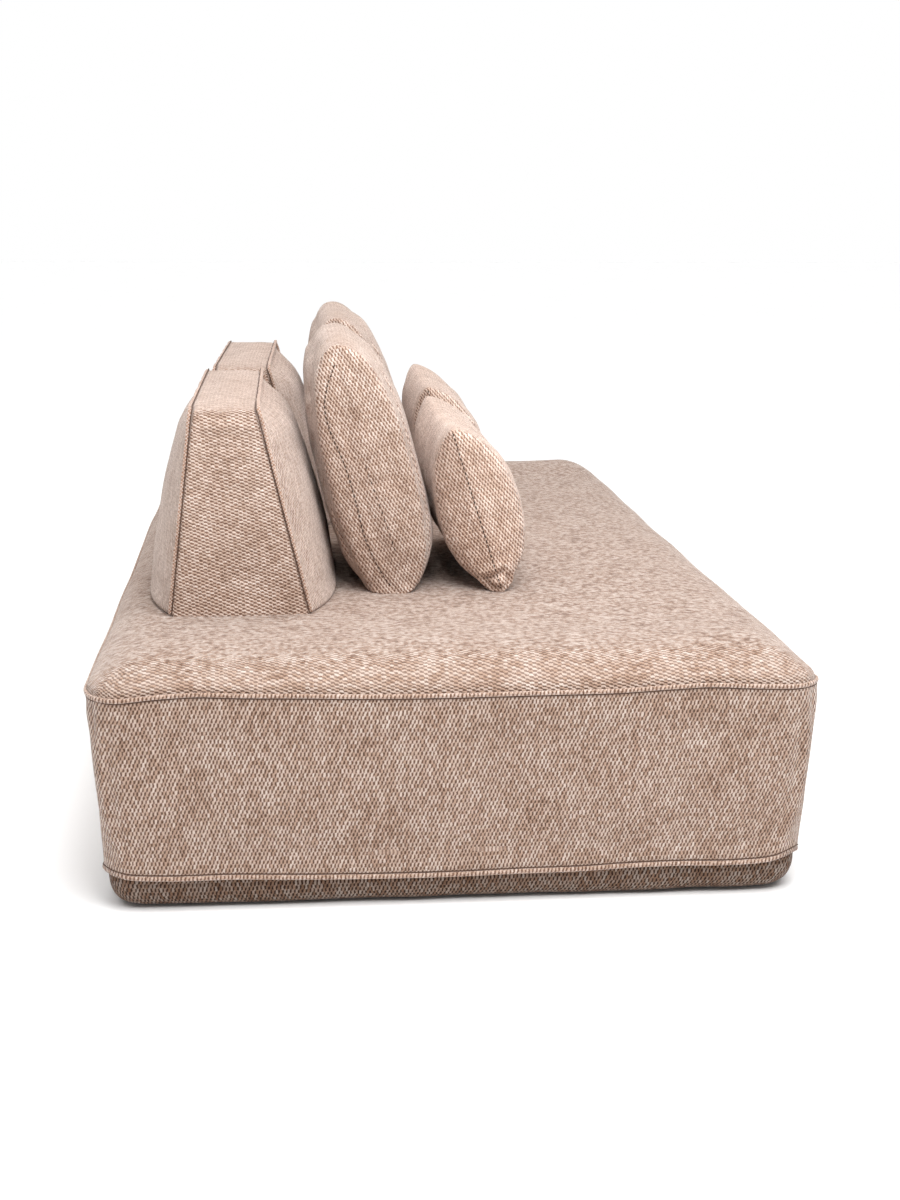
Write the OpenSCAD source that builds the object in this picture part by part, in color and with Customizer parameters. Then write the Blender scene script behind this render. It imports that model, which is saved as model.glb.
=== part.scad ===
// Backless lounge sofa: an upholstered seat base, two weighted wedge backrests that stand on it,
// two loose back cushions and two throw pillows.
// The length runs along X, the front faces -Y, and the floor is at z = 0.

/* [Seat base] */
// Length of the seat base at its walls
base_len = 2200; // [1900:10:2500]
// Depth of the seat base at its walls
base_depth = 1140; // [1000:10:1300]
// Height of the edge seam above the floor
edge_z = 350; // [320:1:400]
// Rise of the crowned top above the edge seam
crown_rise = 42; // [30:1:55]
// Width of the rounded border of the top
crown_run = 110; // [90:1:130]
// Radius of the base's corners seen from above
corner_r = 60; // [50:1:75]
// How far the walls draw in between the edge seam and the hem
wall_taper = 16; // [10:1:20]
// Height of the cover's hem above the floor
hem_z = 58; // [52:1:66]
// Height from the hem to the hidden top of the lower band
band_lap = 34; // [30:1:44]
// Height of the part of the lower band that rolls under
band_roll = 42; // [34:1:43]
// Gap between the lower band and the floor
floor_gap = 9; // [6:1:14]
// Radius of the raised edge seams
seam_r = 5; // [3:0.5:6]

/* [Seat frame] */
// Distance from the base's walls to the outer faces of the rails
rail_inset = 47; // [44:1:60]
// Thickness of the rails
rail_t = 25; // [18:1:35]
// Height of the top of the frame above the floor
rail_top_z = 200; // [160:1:240]
// Height of the cross rails
cross_rail_h = 130; // [80:1:140]
// Number of cross rails
cross_rails_n = 3; // [1:2:5]
// Side of the square corner blocks
post_side = 60; // [50:1:80]
// Diameter of the frame screws
screw_d = 5; // [4:0.5:6]
// Length of the frame screws
screw_len = 60; // [50:1:75]
// Diameter of the floor glides
glide_d = 40; // [30:1:48]
// Diameter of the glide screws
glide_screw_d = 4; // [3:0.5:5]
// Length of the glide screws
glide_screw_len = 30; // [20:1:40]

/* [Seat padding] */
// Width of the webbing straps
web_w = 60; // [40:1:80]
// Thickness of the webbing straps
web_t = 2; // [1:0.5:3]
// Number of straps from front to back
cross_webs = 11; // [7:1:13]
// Number of straps from end to end
long_webs = 5; // [3:1:7]
// Thickness of the insulator pad over the webbing
insulator_t = 5; // [3:1:8]
// Depth of the soft topper below the edge seam
topper_drop = 8; // [4:1:14]
// Thickness of the cover cloth
cloth_t = 3; // [2:0.5:4]
// Thickness of one half of the hook and loop tape
tape_t = 1.5; // [1:0.5:2]
// Width of the hook and loop tape
tape_w = 20; // [16:1:25]
// Thickness of the dust cover under the frame
dust_t = 1; // [0.5:0.5:2]

/* [Backrests] */
// Length of a backrest
block_len = 705; // [600:5:715]
// Height of a backrest at its ends
block_h = 356; // [300:1:420]
// Depth of a backrest at its foot
block_foot = 235; // [200:1:260]
// Depth of a backrest at its head
block_head = 106; // [90:1:130]
// Distance that the front of the head lies behind the front of the foot
block_lean = 85; // [75:1:90]
// Swell of the front face at its middle
front_swell = 66; // [30:1:66]
// Swell of the rear face at its middle
rear_swell = 60; // [30:1:65]
// Swell of the top face
top_swell = 13; // [6:1:20]
// Swell of the end faces
end_swell = 7; // [2:1:9]
// Radius of the raised seams of a backrest
block_seam_r = 4; // [3:0.5:5]
// Thickness of the plywood board in the foot
board_t = 12; // [9:1:18]
// Thickness of the steel weight on the board
weight_t = 6; // [4:1:10]
// Border of bare board around the weight
weight_border = 24; // [15:1:40]
// Diameter of the screws that hold the weight
weight_screw_d = 5; // [4:0.5:6]
// Thickness of the non-slip cloth under the foot
grip_t = 1.5; // [1:0.5:2.5]

/* [Back cushions] */
// Length of a back cushion
cushion_len = 546; // [450:2:560]
// Height of a back cushion along its lean
cushion_h = 486; // [400:1:520]
// Swell of a back cushion to the front of its middle plane
cushion_front = 98; // [80:1:99]
// Swell of a back cushion to the rear of its middle plane
cushion_rear = 88; // [70:1:88]
// Angle by which a back cushion leans back
cushion_lean = 14; // [13:0.5:15]
// How much thinner a back cushion is near its ends
cushion_thinning = 5; // [4:1:20]
// How far the corners of a back cushion draw in
cushion_draw = 12; // [5:1:20]

/* [Throw pillows] */
// Length of a throw pillow
pillow_len = 586; // [480:2:600]
// Height of a throw pillow along its lean
pillow_h = 327; // [280:1:345]
// Swell of a throw pillow to the front of its edge seam
pillow_front = 90; // [60:1:95]
// Swell of a throw pillow to the rear of its edge seam
pillow_rear = 73; // [60:1:73]
// Angle by which a throw pillow leans back
pillow_lean = 17.5; // [14:0.5:18]
// How far the long edges of a throw pillow draw in
pillow_long_draw = 17; // [4:0.5:18]
// How far the ends of a throw pillow draw in
pillow_end_draw = 16; // [6:0.5:22]

/* [Placing] */
// Distance from the base's rear wall to the backrests' rear foot edge
block_set = 112; // [110:1:140]
// Gap between the two backrests
block_gap = 40; // [30:1:60]
// Distance of the backrests' common middle from the base's middle
pair_shift = 12.5; // [0:0.5:20]
// How far the right backrest stands forward of the left one
right_forward = 18; // [0:1:40]
// Angle by which the right backrest is turned
right_turn = 1; // [0:0.1:2]
// Shift of the back cushions along the backrests
cushion_shift = 61; // [50:1:90]
// Distance from the backrest's front foot edge to the cushion's foot
cushion_gap = 160.5; // [160.5:0.5:170]
// Shift of the throw pillows along the backrests
pillow_shift = 75; // [30:1:80]
// Distance from the cushion's foot to the pillow's foot
pillow_gap = 187; // [187:0.5:220]

/* [Hidden] */
// Clearance between a loose piece and what it rests on
rest_gap = 0.3;
// Clearance between a soft filling and its cover
fit_gap = 0.5;
// Clearance between two sewn panels and half the width of an open seam
seam_gap = 0.3;
// Radial clearance around a screw
screw_play = 0.1;
// Overrun of cuts
over = 1;
// Share of the inset that the plan corners lose in radius
corner_share = 0.55;
// Steps in each quarter turn of a corner, an even number
arc_steps = 6;
// Colours of the cloth, timber, foam, steel and other stuff
cloth = "#c3b1a2";
cloth_dark = "#a08c7c";
seam_cloth = "#cdbcae";
timber = "#c9a878";
foam = "#efe6c8";
wadding = "#f4f2ea";
steel = "#8f9397";
webbing = "#5b5046";
felt = "#8b8780";
black_cloth = "#2a2a2a";
nylon = "#3b3836";

// Height of the seat's flat top and of the loose pieces' undersides
seat_z = edge_z + crown_rise;
rest_z = seat_z + rest_gap;
// Heights and places in the lower band
band_top_z = hem_z + band_lap;
band_turn_z = floor_gap + band_roll;
band_in = wall_taper + cloth_t + 2 * tape_t;
band_tuck = rail_t / 2;
// Frame levels
rail_z = floor_gap + cloth_t + rest_gap;
rail_h = rail_top_z - rail_z;
frame_len = base_len - 2 * rail_inset;
frame_depth = base_depth - 2 * rail_inset;
screw_head_d = 2 * screw_d;
screw_head_h = screw_d;
// Padding levels
long_web_z = rail_top_z + web_t;
insulator_z = long_web_z + web_t;
core_z = insulator_z + insulator_t;
pad_top_z = edge_z - topper_drop;
lining = cloth_t + fit_gap;
// Places of the wall and crown outlines as shares of the taper, run, height and rise
wall_shares = [[1, 0], [1, 0.1], [0.56, 0.3], [0.12, 0.6], [0, 0.83], [0, 1]];
crown_shares = [[0, 0], [0.05, 0.3], [0.15, 0.56], [0.32, 0.78], [0.6, 0.94], [1, 1]];
// Outline of a raised edge seam as shares of its radius: outwards from the wall and upwards
edge_seam_shares =
    [[0.05, 0.05], [-0.65, 1.75], [0.3, 1.5], [0.85, 0.7], [1, -0.3], [0.7, -1.2], [0.05, -1.5]];
hem_seam_shares = [[0.05, 2.6], [0.6, 2.3], [0.9, 1.5], [0.9, 0.7], [0.6, 0], [0.05, 0]];
// Swell of a backrest's faces at shares of its height
rise_shares = [0, 0.1, 0.28, 0.5, 0.72, 0.9, 1];
front_swell_shares = [[0, 0.8], [0.1, 0.92], [0.28, 0.98], [0.5, 1], [0.72, 0.93], [0.9, 0.65], [1, 0]];
rear_swell_shares = [[0, 0.85], [0.1, 0.97], [0.28, 1], [0.5, 0.9], [0.72, 0.76], [0.9, 0.48], [1, 0]];
side_swell_shares = [[0, 0.5], [0.1, 0.8], [0.28, 1], [0.5, 1], [0.72, 0.8], [0.9, 0.35], [1, 0]];
length_shares = [-1, -0.88, -0.68, -0.38, 0, 0.38, 0.68, 0.88, 1];
depth_shares = [0, 0.33, 0.67, 1];
// Exponents of the rounding along a backrest, a cushion's upper and lower section and its ends
block_round = 3.5;
cushion_round = 2.1;
cushion_foot_round = 3.2;
cushion_end_round = 8;
// Exponents of a throw pillow's puff: along, to its top, to its foot, and of all together
pillow_long_round = 11;
pillow_top_round = 2;
pillow_foot_round = 2.65;
pillow_puff = 0.665;
// Steps along and around a back cushion, and over a throw pillow
cushion_steps = 12;
cushion_turns = 20;
pillow_steps = 10;
// Angle from a back cushion's foot line to each lip of its open foot seam
cushion_slit = 0.4;
// Distance that soft fillings stop short of their covers' ends
fill_short = 5 * cloth_t;
// How far the soft pieces are pressed flat where they stand
cushion_sink = 9;
pillow_sink = 7;

// Value between a and b at share t
function mix(a, b, t) = a + (b - a) * t;

// Points of rows, in one list
function joined(rows) = [for (row = rows) for (p = row) p];

// Mean of a list of points
function middle(points) = [for (k = [0:2]) [for (p = points) p[k]] * [for (p = points) 1] / len(points)];

// Power that keeps the sign
function signed_pow(value, e) = sign(value) * pow(abs(value), e);

// The two triangles of a four-sided face, split from a to c, or from b to d where it is turned
function halves(a, b, c, d, turned = false) = turned ? [[a, b, d], [b, c, d]] : [[a, b, c], [a, c, d]];

// Whether face (i, j) of a grid of m by n points is turned, so that all its corners are convex
crowned = function (i, j, m, n) (i < (m - 1) / 2) != (j < (n - 1) / 2);
never = function (i, j, m, n) false;

// Sheet between two grids of points with as many rows and columns each
module sheet(outer, inner, turned = never) {
    m = len(outer);
    n = len(outer[0]);
    q = m * n;
    outside = [for (i = [0:m - 2], j = [0:n - 2]) let (k = i * n + j)
        each halves(k, k + 1, k + n + 1, k + n, turned(i, j, m, n))];
    inside = [for (i = [0:m - 2], j = [0:n - 2]) let (k = q + i * n + j)
        each halves(k, k + n, k + n + 1, k + 1, turned(i, j, m, n))];
    rows_rim = [for (j = [0:n - 2]) each concat(
        halves(j + 1, j, q + j, q + j + 1),
        halves(q - n + j, q - n + j + 1, 2 * q - n + j + 1, 2 * q - n + j))];
    columns_rim = [for (i = [0:m - 2]) each concat(
        halves(i * n, (i + 1) * n, q + (i + 1) * n, q + i * n),
        halves((i + 2) * n - 1, (i + 1) * n - 1, q + (i + 1) * n - 1, q + (i + 2) * n - 1))];
    polyhedron(concat(joined(outer), joined(inner)), concat(outside, inside, rows_rim, columns_rim));
}

// Solid through closed rings of points, with its ends drawn out by tip
module loft(rings, tip = [0, 0, 0], turned = never) {
    m = len(rings);
    n = len(rings[0]);
    q = m * n;
    ends = [middle(rings[0]) - tip, middle(rings[m - 1]) + tip];
    skin = [for (i = [0:m - 2], j = [0:n - 1]) let (k = i * n + j, side = i * n + (j + 1) % n)
        each halves(k, k + n, side + n, side, turned(i, j, m, n))];
    first_end = [for (j = [0:n - 1]) [q, j, (j + 1) % n]];
    last_end = [for (j = [0:n - 1]) [q + 1, q - n + (j + 1) % n, q - n + j]];
    polyhedron(concat(joined(rings), ends), concat(skin, first_end, last_end));
}

// Endless ring through closed sections
module endless(sections) {
    m = len(sections);
    n = len(sections[0]);
    skin = [for (i = [0:m - 1], j = [0:n - 1]) let (k = (i + 1) % m * n, next = (j + 1) % n)
        each halves(i * n + j, k + j, k + next, i * n + next)];
    polyhedron(joined(sections), skin);
}

// Radius of the plan corners at an inset from the walls
function plan_radius(inset) = corner_r - inset * corner_share;

// Point of the plan outline: number of the corner, angle in it, inset, height and radius
function plan_point(corner, angle, inset, z, r) =
    let (sx = corner == 0 || corner == 3 ? 1 : -1, sy = corner < 2 ? 1 : -1, a = 90 * corner + angle)
    [sx * (base_len / 2 - inset - r) + r * cos(a), sy * (base_depth / 2 - inset - r) + r * sin(a), z];

// Stations around the whole outline and along one side, from mid corner to mid corner
plan_stations = [for (corner = [0:3], i = [0:arc_steps]) [corner, 90 * i / arc_steps]];
function side_stations(side) = concat(
    [for (i = [arc_steps / 2:arc_steps]) [side, 90 * i / arc_steps]],
    [for (i = [0:arc_steps / 2]) [(side + 1) % 4, 90 * i / arc_steps]]);

// Ring of the plan at an inset and height
function plan_ring(p) = [for (s = plan_stations) plan_point(s[0], s[1], p[0], p[1], plan_radius(p[0]))];

// Grid of points along one side, for an outline of insets and heights
function side_grid(side, outline) =
    [for (s = side_stations(side))
        [for (p = outline) plan_point(s[0], s[1], p[0], p[1], plan_radius(p[0]))]];

// Insets and heights of the wall, crown and lower band at a distance under their faces
function wall_outline(d) = [for (s = wall_shares) [wall_taper * s[0] + d, mix(hem_z, edge_z, s[1])]];
function crown_outline(d) =
    [for (s = crown_shares) [crown_run * s[0] + d * (1 - s[1]), edge_z + (crown_rise - d) * s[1]]];
function roll_point(a, d) = [
    rail_inset - (rail_inset - band_in - d) * cos(a),
    band_turn_z - (band_roll - d) * sin(a)];
function band_outline(d) = concat(
    [[rail_inset + band_tuck, floor_gap + d]],
    [for (a = [90, 60, 30, 0]) roll_point(a, d)],
    [[band_in + d, band_top_z]]);

// Outline of the padding between the timber and the cover
pad_end_share = 0.8;
pad_outline = concat(
    [mix(roll_point(60, lining), roll_point(90, lining), pad_end_share)],
    [for (a = [60, 30, 0]) roll_point(a, lining)],
    [[band_in + lining, band_top_z + fit_gap], [wall_taper + lining, band_top_z + 2 * fit_gap]],
    [for (i = [2:4]) wall_outline(lining)[i]],
    [[lining, pad_top_z]]);
pad_back = [for (i = [0:len(pad_outline) - 1])
    [rail_inset - fit_gap, mix(rail_z + cloth_t, pad_top_z, i / (len(pad_outline) - 1))]];

// Flat plate with the plan's rounded corners, at an inset from the walls
module plan_plate(inset, z, h) {
    len = base_len - 2 * inset;
    depth = base_depth - 2 * inset;
    r = plan_radius(inset);
    translate([0, 0, z]) linear_extrude(h) {
        square([len - 2 * r, depth], center = true);
        square([len, depth - 2 * r], center = true);
        for (x = [r - len / 2, len / 2 - r], y = [r - depth / 2, depth / 2 - r])
            translate([x, y]) circle(r, $fn = 64);
    }
}

module wall_cover(side) {
    color(cloth) sheet(side_grid(side, wall_outline(0)), side_grid(side, wall_outline(cloth_t)));
}

module lower_band(side) {
    color(cloth_dark) sheet(side_grid(side, band_outline(0)), side_grid(side, band_outline(cloth_t)));
}

module side_pad(side) {
    color(wadding) sheet(side_grid(side, pad_outline), side_grid(side, pad_back));
}

module raised_seam(outline) {
    color(seam_cloth) endless([for (s = plan_stations)
        [for (p = outline) plan_point(s[0], s[1], p[0], p[1], plan_radius(p[0]))]]);
}

module edge_seam() {
    raised_seam([for (s = edge_seam_shares) [-s[0] * seam_r, edge_z + s[1] * seam_r]]);
}

module hem_seam() {
    raised_seam([for (s = hem_seam_shares) [wall_taper - s[0] * seam_r, hem_z + s[1] * seam_r]]);
}

module top_cover() {
    under = crown_outline(cloth_t);
    last = len(under) - 1;
    color(cloth) loft(concat(
        [for (i = [last:-1:0]) plan_ring(under[i])],
        [for (p = crown_outline(0)) plan_ring(p)]));
}

module foam_topper() {
    color(wadding) loft(concat(
        [plan_ring([lining, pad_top_z + rest_gap])],
        [for (p = crown_outline(lining)) plan_ring(p)]));
}

// Places of the corner blocks' middles, the cross rails and the screws
block_in = rail_inset + rail_t + post_side / 2;
post_x = base_len / 2 - block_in;
post_y = base_depth / 2 - block_in;
cross_xs = [for (i = [1:cross_rails_n]) -frame_len / 2 + frame_len * i / (cross_rails_n + 1)];
long_screw_zs = [rail_z + cross_rail_h / 4, rail_z + cross_rail_h * 3 / 4];
end_screw_rise = 4 * screw_d;

// Screw or its hole, inwards from the origin along +Z, with extra radius and an overrun at its head
module wood_screw(extra, overrun) {
    cylinder(d = screw_d + 2 * extra, h = screw_len + extra, $fn = 32);
    translate([0, 0, -overrun])
        cylinder(d = screw_head_d + 2 * extra, h = screw_head_h + extra + overrun, $fn = 32);
}

// All the frame's screws or their holes
module frame_fasteners(extra = 0, overrun = 0) {
    for (x = concat([-post_x, post_x], cross_xs), z = long_screw_zs, side = [-1, 1])
        translate([x, side * frame_depth / 2, z]) rotate([side * 90, 0, 0])
            wood_screw(extra, overrun);
    for (y = [-post_y, post_y], z = long_screw_zs, side = [-1, 1])
        translate([side * frame_len / 2, y, z + end_screw_rise]) rotate([0, side * -90, 0])
            wood_screw(extra, overrun);
}

module long_rail(side) {
    color(timber) difference() {
        intersection() {
            plan_plate(rail_inset, rail_z, rail_h);
            translate([-base_len / 2, side * (frame_depth - rail_t) / 2 - rail_t / 2, rail_z])
                cube([base_len, rail_t, rail_h]);
        }
        frame_fasteners(screw_play, over);
    }
}

module end_rail(side) {
    color(timber) difference() {
        intersection() {
            plan_plate(rail_inset, rail_z, rail_h);
            translate([side * (frame_len - rail_t) / 2 - rail_t / 2, -frame_depth / 2 + rail_t, rail_z])
                cube([rail_t, frame_depth - 2 * rail_t, rail_h]);
        }
        frame_fasteners(screw_play, over);
    }
}

module cross_rails() {
    color(timber) difference() {
        for (x = cross_xs)
            translate([x - rail_t / 2, -frame_depth / 2 + rail_t, rail_z])
                cube([rail_t, frame_depth - 2 * rail_t, cross_rail_h]);
        frame_fasteners(screw_play);
        glide_holes();
    }
}

module frame_screws() {
    color(steel) frame_fasteners();
}

// Places of the glides: under the corner blocks and beside the middle cross rail
glide_places = [for (x = [-post_x, 0, post_x], y = [-post_y, post_y]) [x, y]];
glide_h = rail_z - dust_t;
glide_head_d = 2 * glide_screw_d;
glide_head_h = glide_screw_d * 3 / 4;
glide_head_z = glide_h / 4;

module glide_holes() {
    hole_len = glide_head_z + glide_screw_len + screw_play;
    for (p = glide_places)
        translate([p[0], p[1], 0]) cylinder(d = glide_screw_d + 2 * screw_play, h = hole_len, $fn = 32);
}

module corner_blocks() {
    color(timber) difference() {
        for (x = [-post_x, post_x], y = [-post_y, post_y])
            translate([x - post_side / 2, y - post_side / 2, rail_z]) cube([post_side, post_side, rail_h]);
        frame_fasteners(screw_play);
        glide_holes();
    }
}

module glides() {
    sink_z = glide_head_z + glide_head_h;
    color(nylon) difference() {
        for (p = glide_places)
            translate([p[0], p[1], 0]) cylinder(d = glide_d, h = glide_h, $fn = 64);
        glide_holes();
        for (p = glide_places)
            translate([p[0], p[1], -over])
                cylinder(d = glide_head_d + 2 * screw_play, h = sink_z + over, $fn = 32);
    }
}

module glide_screws() {
    color(steel) for (p = glide_places)
        translate([p[0], p[1], glide_head_z]) {
            cylinder(d = glide_head_d, h = glide_head_h, $fn = 32);
            cylinder(d = glide_screw_d, h = glide_screw_len, $fn = 32);
        }
}

module dust_cover() {
    color(black_cloth) difference() {
        plan_plate(rail_inset + band_tuck + fit_gap, rail_z - dust_t, dust_t);
        glide_holes();
    }
}

module cross_webbing() {
    pitch = frame_len / (cross_webs + 1);
    color(webbing) for (i = [1:cross_webs])
        translate([i * pitch - (frame_len + web_w) / 2, -frame_depth / 2, rail_top_z])
            cube([web_w, frame_depth, web_t]);
}

module long_webbing() {
    pitch = frame_depth / (long_webs + 1);
    color(webbing) for (i = [1:long_webs])
        translate([-frame_len / 2, i * pitch - (frame_depth + web_w) / 2, long_web_z])
            cube([frame_len, web_w, web_t]);
}

module insulator_pad() {
    color(felt) plan_plate(rail_inset, insulator_z, insulator_t);
}

module foam_core() {
    color(foam) plan_plate(rail_inset, core_z, pad_top_z - core_z);
}

// Four strips of tape along the straight walls, at an inset from them
module tape_strips(inset) {
    end_clear = corner_r + inset;
    tape_z = hem_z + (band_lap - tape_w) / 2;
    for (y = [inset - base_depth / 2, base_depth / 2 - inset - tape_t])
        translate([end_clear - base_len / 2, y, tape_z])
            cube([base_len - 2 * end_clear, tape_t, tape_w]);
    for (x = [inset - base_len / 2, base_len / 2 - inset - tape_t])
        translate([x, end_clear - base_depth / 2, tape_z])
            cube([tape_t, base_depth - 2 * end_clear, tape_w]);
}

module loop_tape() {
    color(black_cloth) tape_strips(wall_taper + cloth_t);
}

module hook_tape() {
    color(black_cloth) tape_strips(wall_taper + cloth_t + tape_t);
}

// Swell along a backrest, from 1 in its middle to 0 at its ends
function along(u) = 1 - pow(abs(u), block_round);

// Front and rear faces of a backrest without their swell, from the foot's front edge
function front_line(v) = block_lean * v;
function rear_line(v) = block_foot - (block_foot - block_lean - block_head) * v;

// Points of a backrest's faces at a distance d under them: shares of length, height and depth
function front_point(u, v, d) = [
    u * (block_len / 2 - d),
    front_line(v) + d - front_swell * along(u) * lookup(v, front_swell_shares),
    v * (block_h - d)];
function rear_point(u, v, d) = [
    u * (block_len / 2 - d),
    rear_line(v) - d + rear_swell * along(u) * lookup(v, rear_swell_shares),
    v * (block_h - d)];
function dome(t) = 4 * t * (1 - t);
function top_point(u, t, d) = [
    u * (block_len / 2 - d),
    mix(front_line(1) + d + seam_gap, rear_line(1) - d - seam_gap, t),
    block_h - d + top_swell * along(u) * dome(t)];
function end_point(side, v, t, d) = [
    side * (block_len / 2 - d + end_swell * lookup(v, side_swell_shares) * dome(t)),
    mix(front_line(v) + d + seam_gap, rear_line(v) - d - seam_gap, t),
    v * (block_h - d)];

// The left and right backrests stand at these places
block_pitch = block_len + block_gap;
block_y = base_depth / 2 - block_set - block_foot;

module at_left() {
    translate([-block_pitch / 2 - pair_shift, block_y, rest_z]) children();
}

module at_right() {
    translate([block_pitch / 2 - pair_shift, block_y - right_forward, rest_z])
        rotate([0, 0, -right_turn]) children();
}

module block_front() {
    color(cloth) sheet(
        [for (u = length_shares) [for (v = rise_shares) front_point(u, v, 0)]],
        [for (u = length_shares) [for (v = rise_shares) front_point(u, v, cloth_t)]],
        crowned);
}

module block_rear() {
    color(cloth) sheet(
        [for (v = rise_shares) [for (u = length_shares) rear_point(u, v, 0)]],
        [for (v = rise_shares) [for (u = length_shares) rear_point(u, v, cloth_t)]],
        crowned);
}

// Rows of the boxing: up one end, along the top and down the other end
top_stations = [for (i = [1:len(length_shares) - 2]) length_shares[i]];
function boxing_rows(d) = concat(
    [for (v = rise_shares) [for (t = depth_shares) end_point(-1, v, t, d)]],
    [for (u = top_stations) [for (t = depth_shares) top_point(u, t, d)]],
    [for (i = [len(rise_shares) - 1:-1:0]) [for (t = depth_shares) end_point(1, rise_shares[i], t, d)]]);

module block_boxing() {
    color(cloth) sheet(boxing_rows(0), boxing_rows(cloth_t), crowned);
}

// Levels in a backrest's foot
board_z = grip_t;
weight_z = board_z + board_t;
block_foam_z = weight_z + weight_t;
board_front = front_line((weight_z) / block_h) + lining;
board_depth = rear_line((weight_z) / block_h) - lining - board_front;
board_len = block_len - 2 * lining;
weight_screw_head_h = weight_screw_d / 2;
weight_screw_len = weight_t + board_t * 3 / 4;

module block_foam() {
    low_share = (block_foam_z + weight_screw_head_h + rest_gap) / block_h;
    heights = [for (s = rise_shares) mix(low_share, 1, s)];
    n_rise = len(heights);
    n_top = len(depth_shares);
    rear_turned = function (i, j, m, n)
        j < n_rise - 1 ? crowned(i, j, m, n_rise)
        : j < n_rise + n_top - 2 ? crowned(i, n_rise + n_top - 3 - j, m, n_top) == false
        : crowned(i, j - n_rise - n_top + 2, m, n_rise);
    color(foam) loft([for (u = length_shares) concat(
        [for (v = heights) rear_point(u, v, lining)],
        [for (i = [n_top - 2:-1:1]) top_point(u, depth_shares[i], lining)],
        [for (i = [n_rise - 1:-1:0]) front_point(u, heights[i], lining)])],
        [end_swell / 2, 0, 0], rear_turned);
}

module block_grip() {
    outline = concat(
        [for (u = length_shares) front_point(u, 0, lining)],
        [for (i = [len(length_shares) - 1:-1:0]) rear_point(length_shares[i], 0, lining)]);
    color(black_cloth) linear_extrude(grip_t) polygon([for (p = outline) [p[0], p[1]]]);
}

module weight_screws(extra) {
    inset = weight_border * 2;
    for (x = [-board_len / 2 + inset, board_len / 2 - inset],
         y = [board_front + inset, board_front + board_depth - inset])
        translate([x, y, block_foam_z]) {
            translate([0, 0, -weight_screw_len - extra])
                cylinder(d = weight_screw_d + 2 * extra, h = weight_screw_len + extra, $fn = 32);
            cylinder(d = 2 * weight_screw_d, h = weight_screw_head_h, $fn = 32);
        }
}

module block_board() {
    color(timber) difference() {
        translate([-board_len / 2, board_front, board_z]) cube([board_len, board_depth, board_t]);
        weight_screws(screw_play);
    }
}

module block_weight() {
    color(steel) difference() {
        translate([-board_len / 2 + weight_border, board_front + weight_border, weight_z])
            cube([board_len - 2 * weight_border, board_depth - 2 * weight_border, weight_t]);
        weight_screws(screw_play);
    }
}

module block_screws() {
    color(steel) weight_screws(0);
}

// Outward directions of the raised seams at the two ends, their corners and the top
function seam_rows(edge) = concat(
    [for (i = [0:len(rise_shares) - 2]) [edge(-1, rise_shares[i]), [-1, 0, 0]]],
    [[edge(-1, 1), [-1, 0, 1]]],
    [for (u = top_stations) [edge(u, 1), [0, 0, 1]]],
    [[edge(1, 1), [1, 0, 1]]],
    [for (i = [len(rise_shares) - 2:-1:0]) [edge(1, rise_shares[i]), [1, 0, 0]]]);

// Raised seam: half its width stands out sideways and a part of it in facing direction
module block_seam(rows, facing) {
    reach = block_seam_r + seam_gap;
    lift = [0, facing, 0];
    lift_share = 0.12;
    rings = [for (row = rows) [for (a = [300:-60:0])
        row[0] + row[1] * (reach + block_seam_r * cos(a))
            + lift * (reach * lift_share + facing * block_seam_r * sin(a))]];
    color(seam_cloth) loft(rings);
}

module block_seams() {
    block_seam(seam_rows(function (u, v) front_point(u, v, 0)), -1);
    block_seam(seam_rows(function (u, v) rear_point(u, v, 0)), 1);
}

// Point of a leaning soft piece: along, towards the rear, up the lean, and its lowest height
function leaning(s, n, h, lean, low) =
    [s, n * cos(lean) + h * sin(lean), max(h * cos(lean) - n * sin(lean), low)];

// Share of the half thickness that a back cushion keeps along its length
function cushion_end(u) = pow(1 - pow(abs(u), cushion_end_round), 1 / cushion_end_round);

// Point of a back cushion: share of length, angle from its foot by the rear, distance under its face
function cushion_point(u, a, d, short) =
    let (
        half = a < 180 ? cushion_rear : cushion_front,
        full = half - cushion_thinning * u * u - d,
        edge = short > 0 ? cloth_t : cloth_t + seam_gap - d,
        t = edge + (full - edge) * cushion_end(u),
        rise = cushion_h / 2 - d - cushion_draw * pow(u, 4),
        round_by = cos(a) > 0 ? cushion_foot_round : cushion_round,
        up = -signed_pow(cos(a), 2 / round_by),
        out = signed_pow(sin(a), 2 / round_by),
        s = u * (cushion_len / 2 - d - short - cushion_draw * pow(abs(up), 4)))
    leaning(s, t * out, cushion_h / 2 - cushion_sink + rise * up, cushion_lean, d);

cushion_us = [for (i = [0:cushion_steps]) sin(-90 + 180 * i / cushion_steps)];
cushion_angles = [for (j = [0:cushion_turns]) mix(cushion_slit, 360 - cushion_slit, j / cushion_turns)];

// Whether a face is turned, so that each quarter of a back cushion is convex: steps along and around
function quarter_turned(along, around) =
    (floor(4 * around / cushion_turns) % 2 == 1) != (along >= cushion_steps / 2);

module at_cushion() {
    translate([cushion_shift, -cushion_gap, 0]) children();
}

module cushion_cover() {
    color(cloth) at_cushion() sheet(
        [for (a = cushion_angles) [for (u = cushion_us) cushion_point(u, a, 0, 0)]],
        [for (a = cushion_angles) [for (u = cushion_us) cushion_point(u, a, cloth_t, 0)]],
        function (i, j, m, n) quarter_turned(j, i));
}

module cushion_fill() {
    color(wadding) at_cushion() loft([for (u = cushion_us)
        [for (a = cushion_angles) cushion_point(u, a, lining, fill_short)]],
        [0, 0, 0], function (i, j, m, n) quarter_turned(i, j));
}

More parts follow.
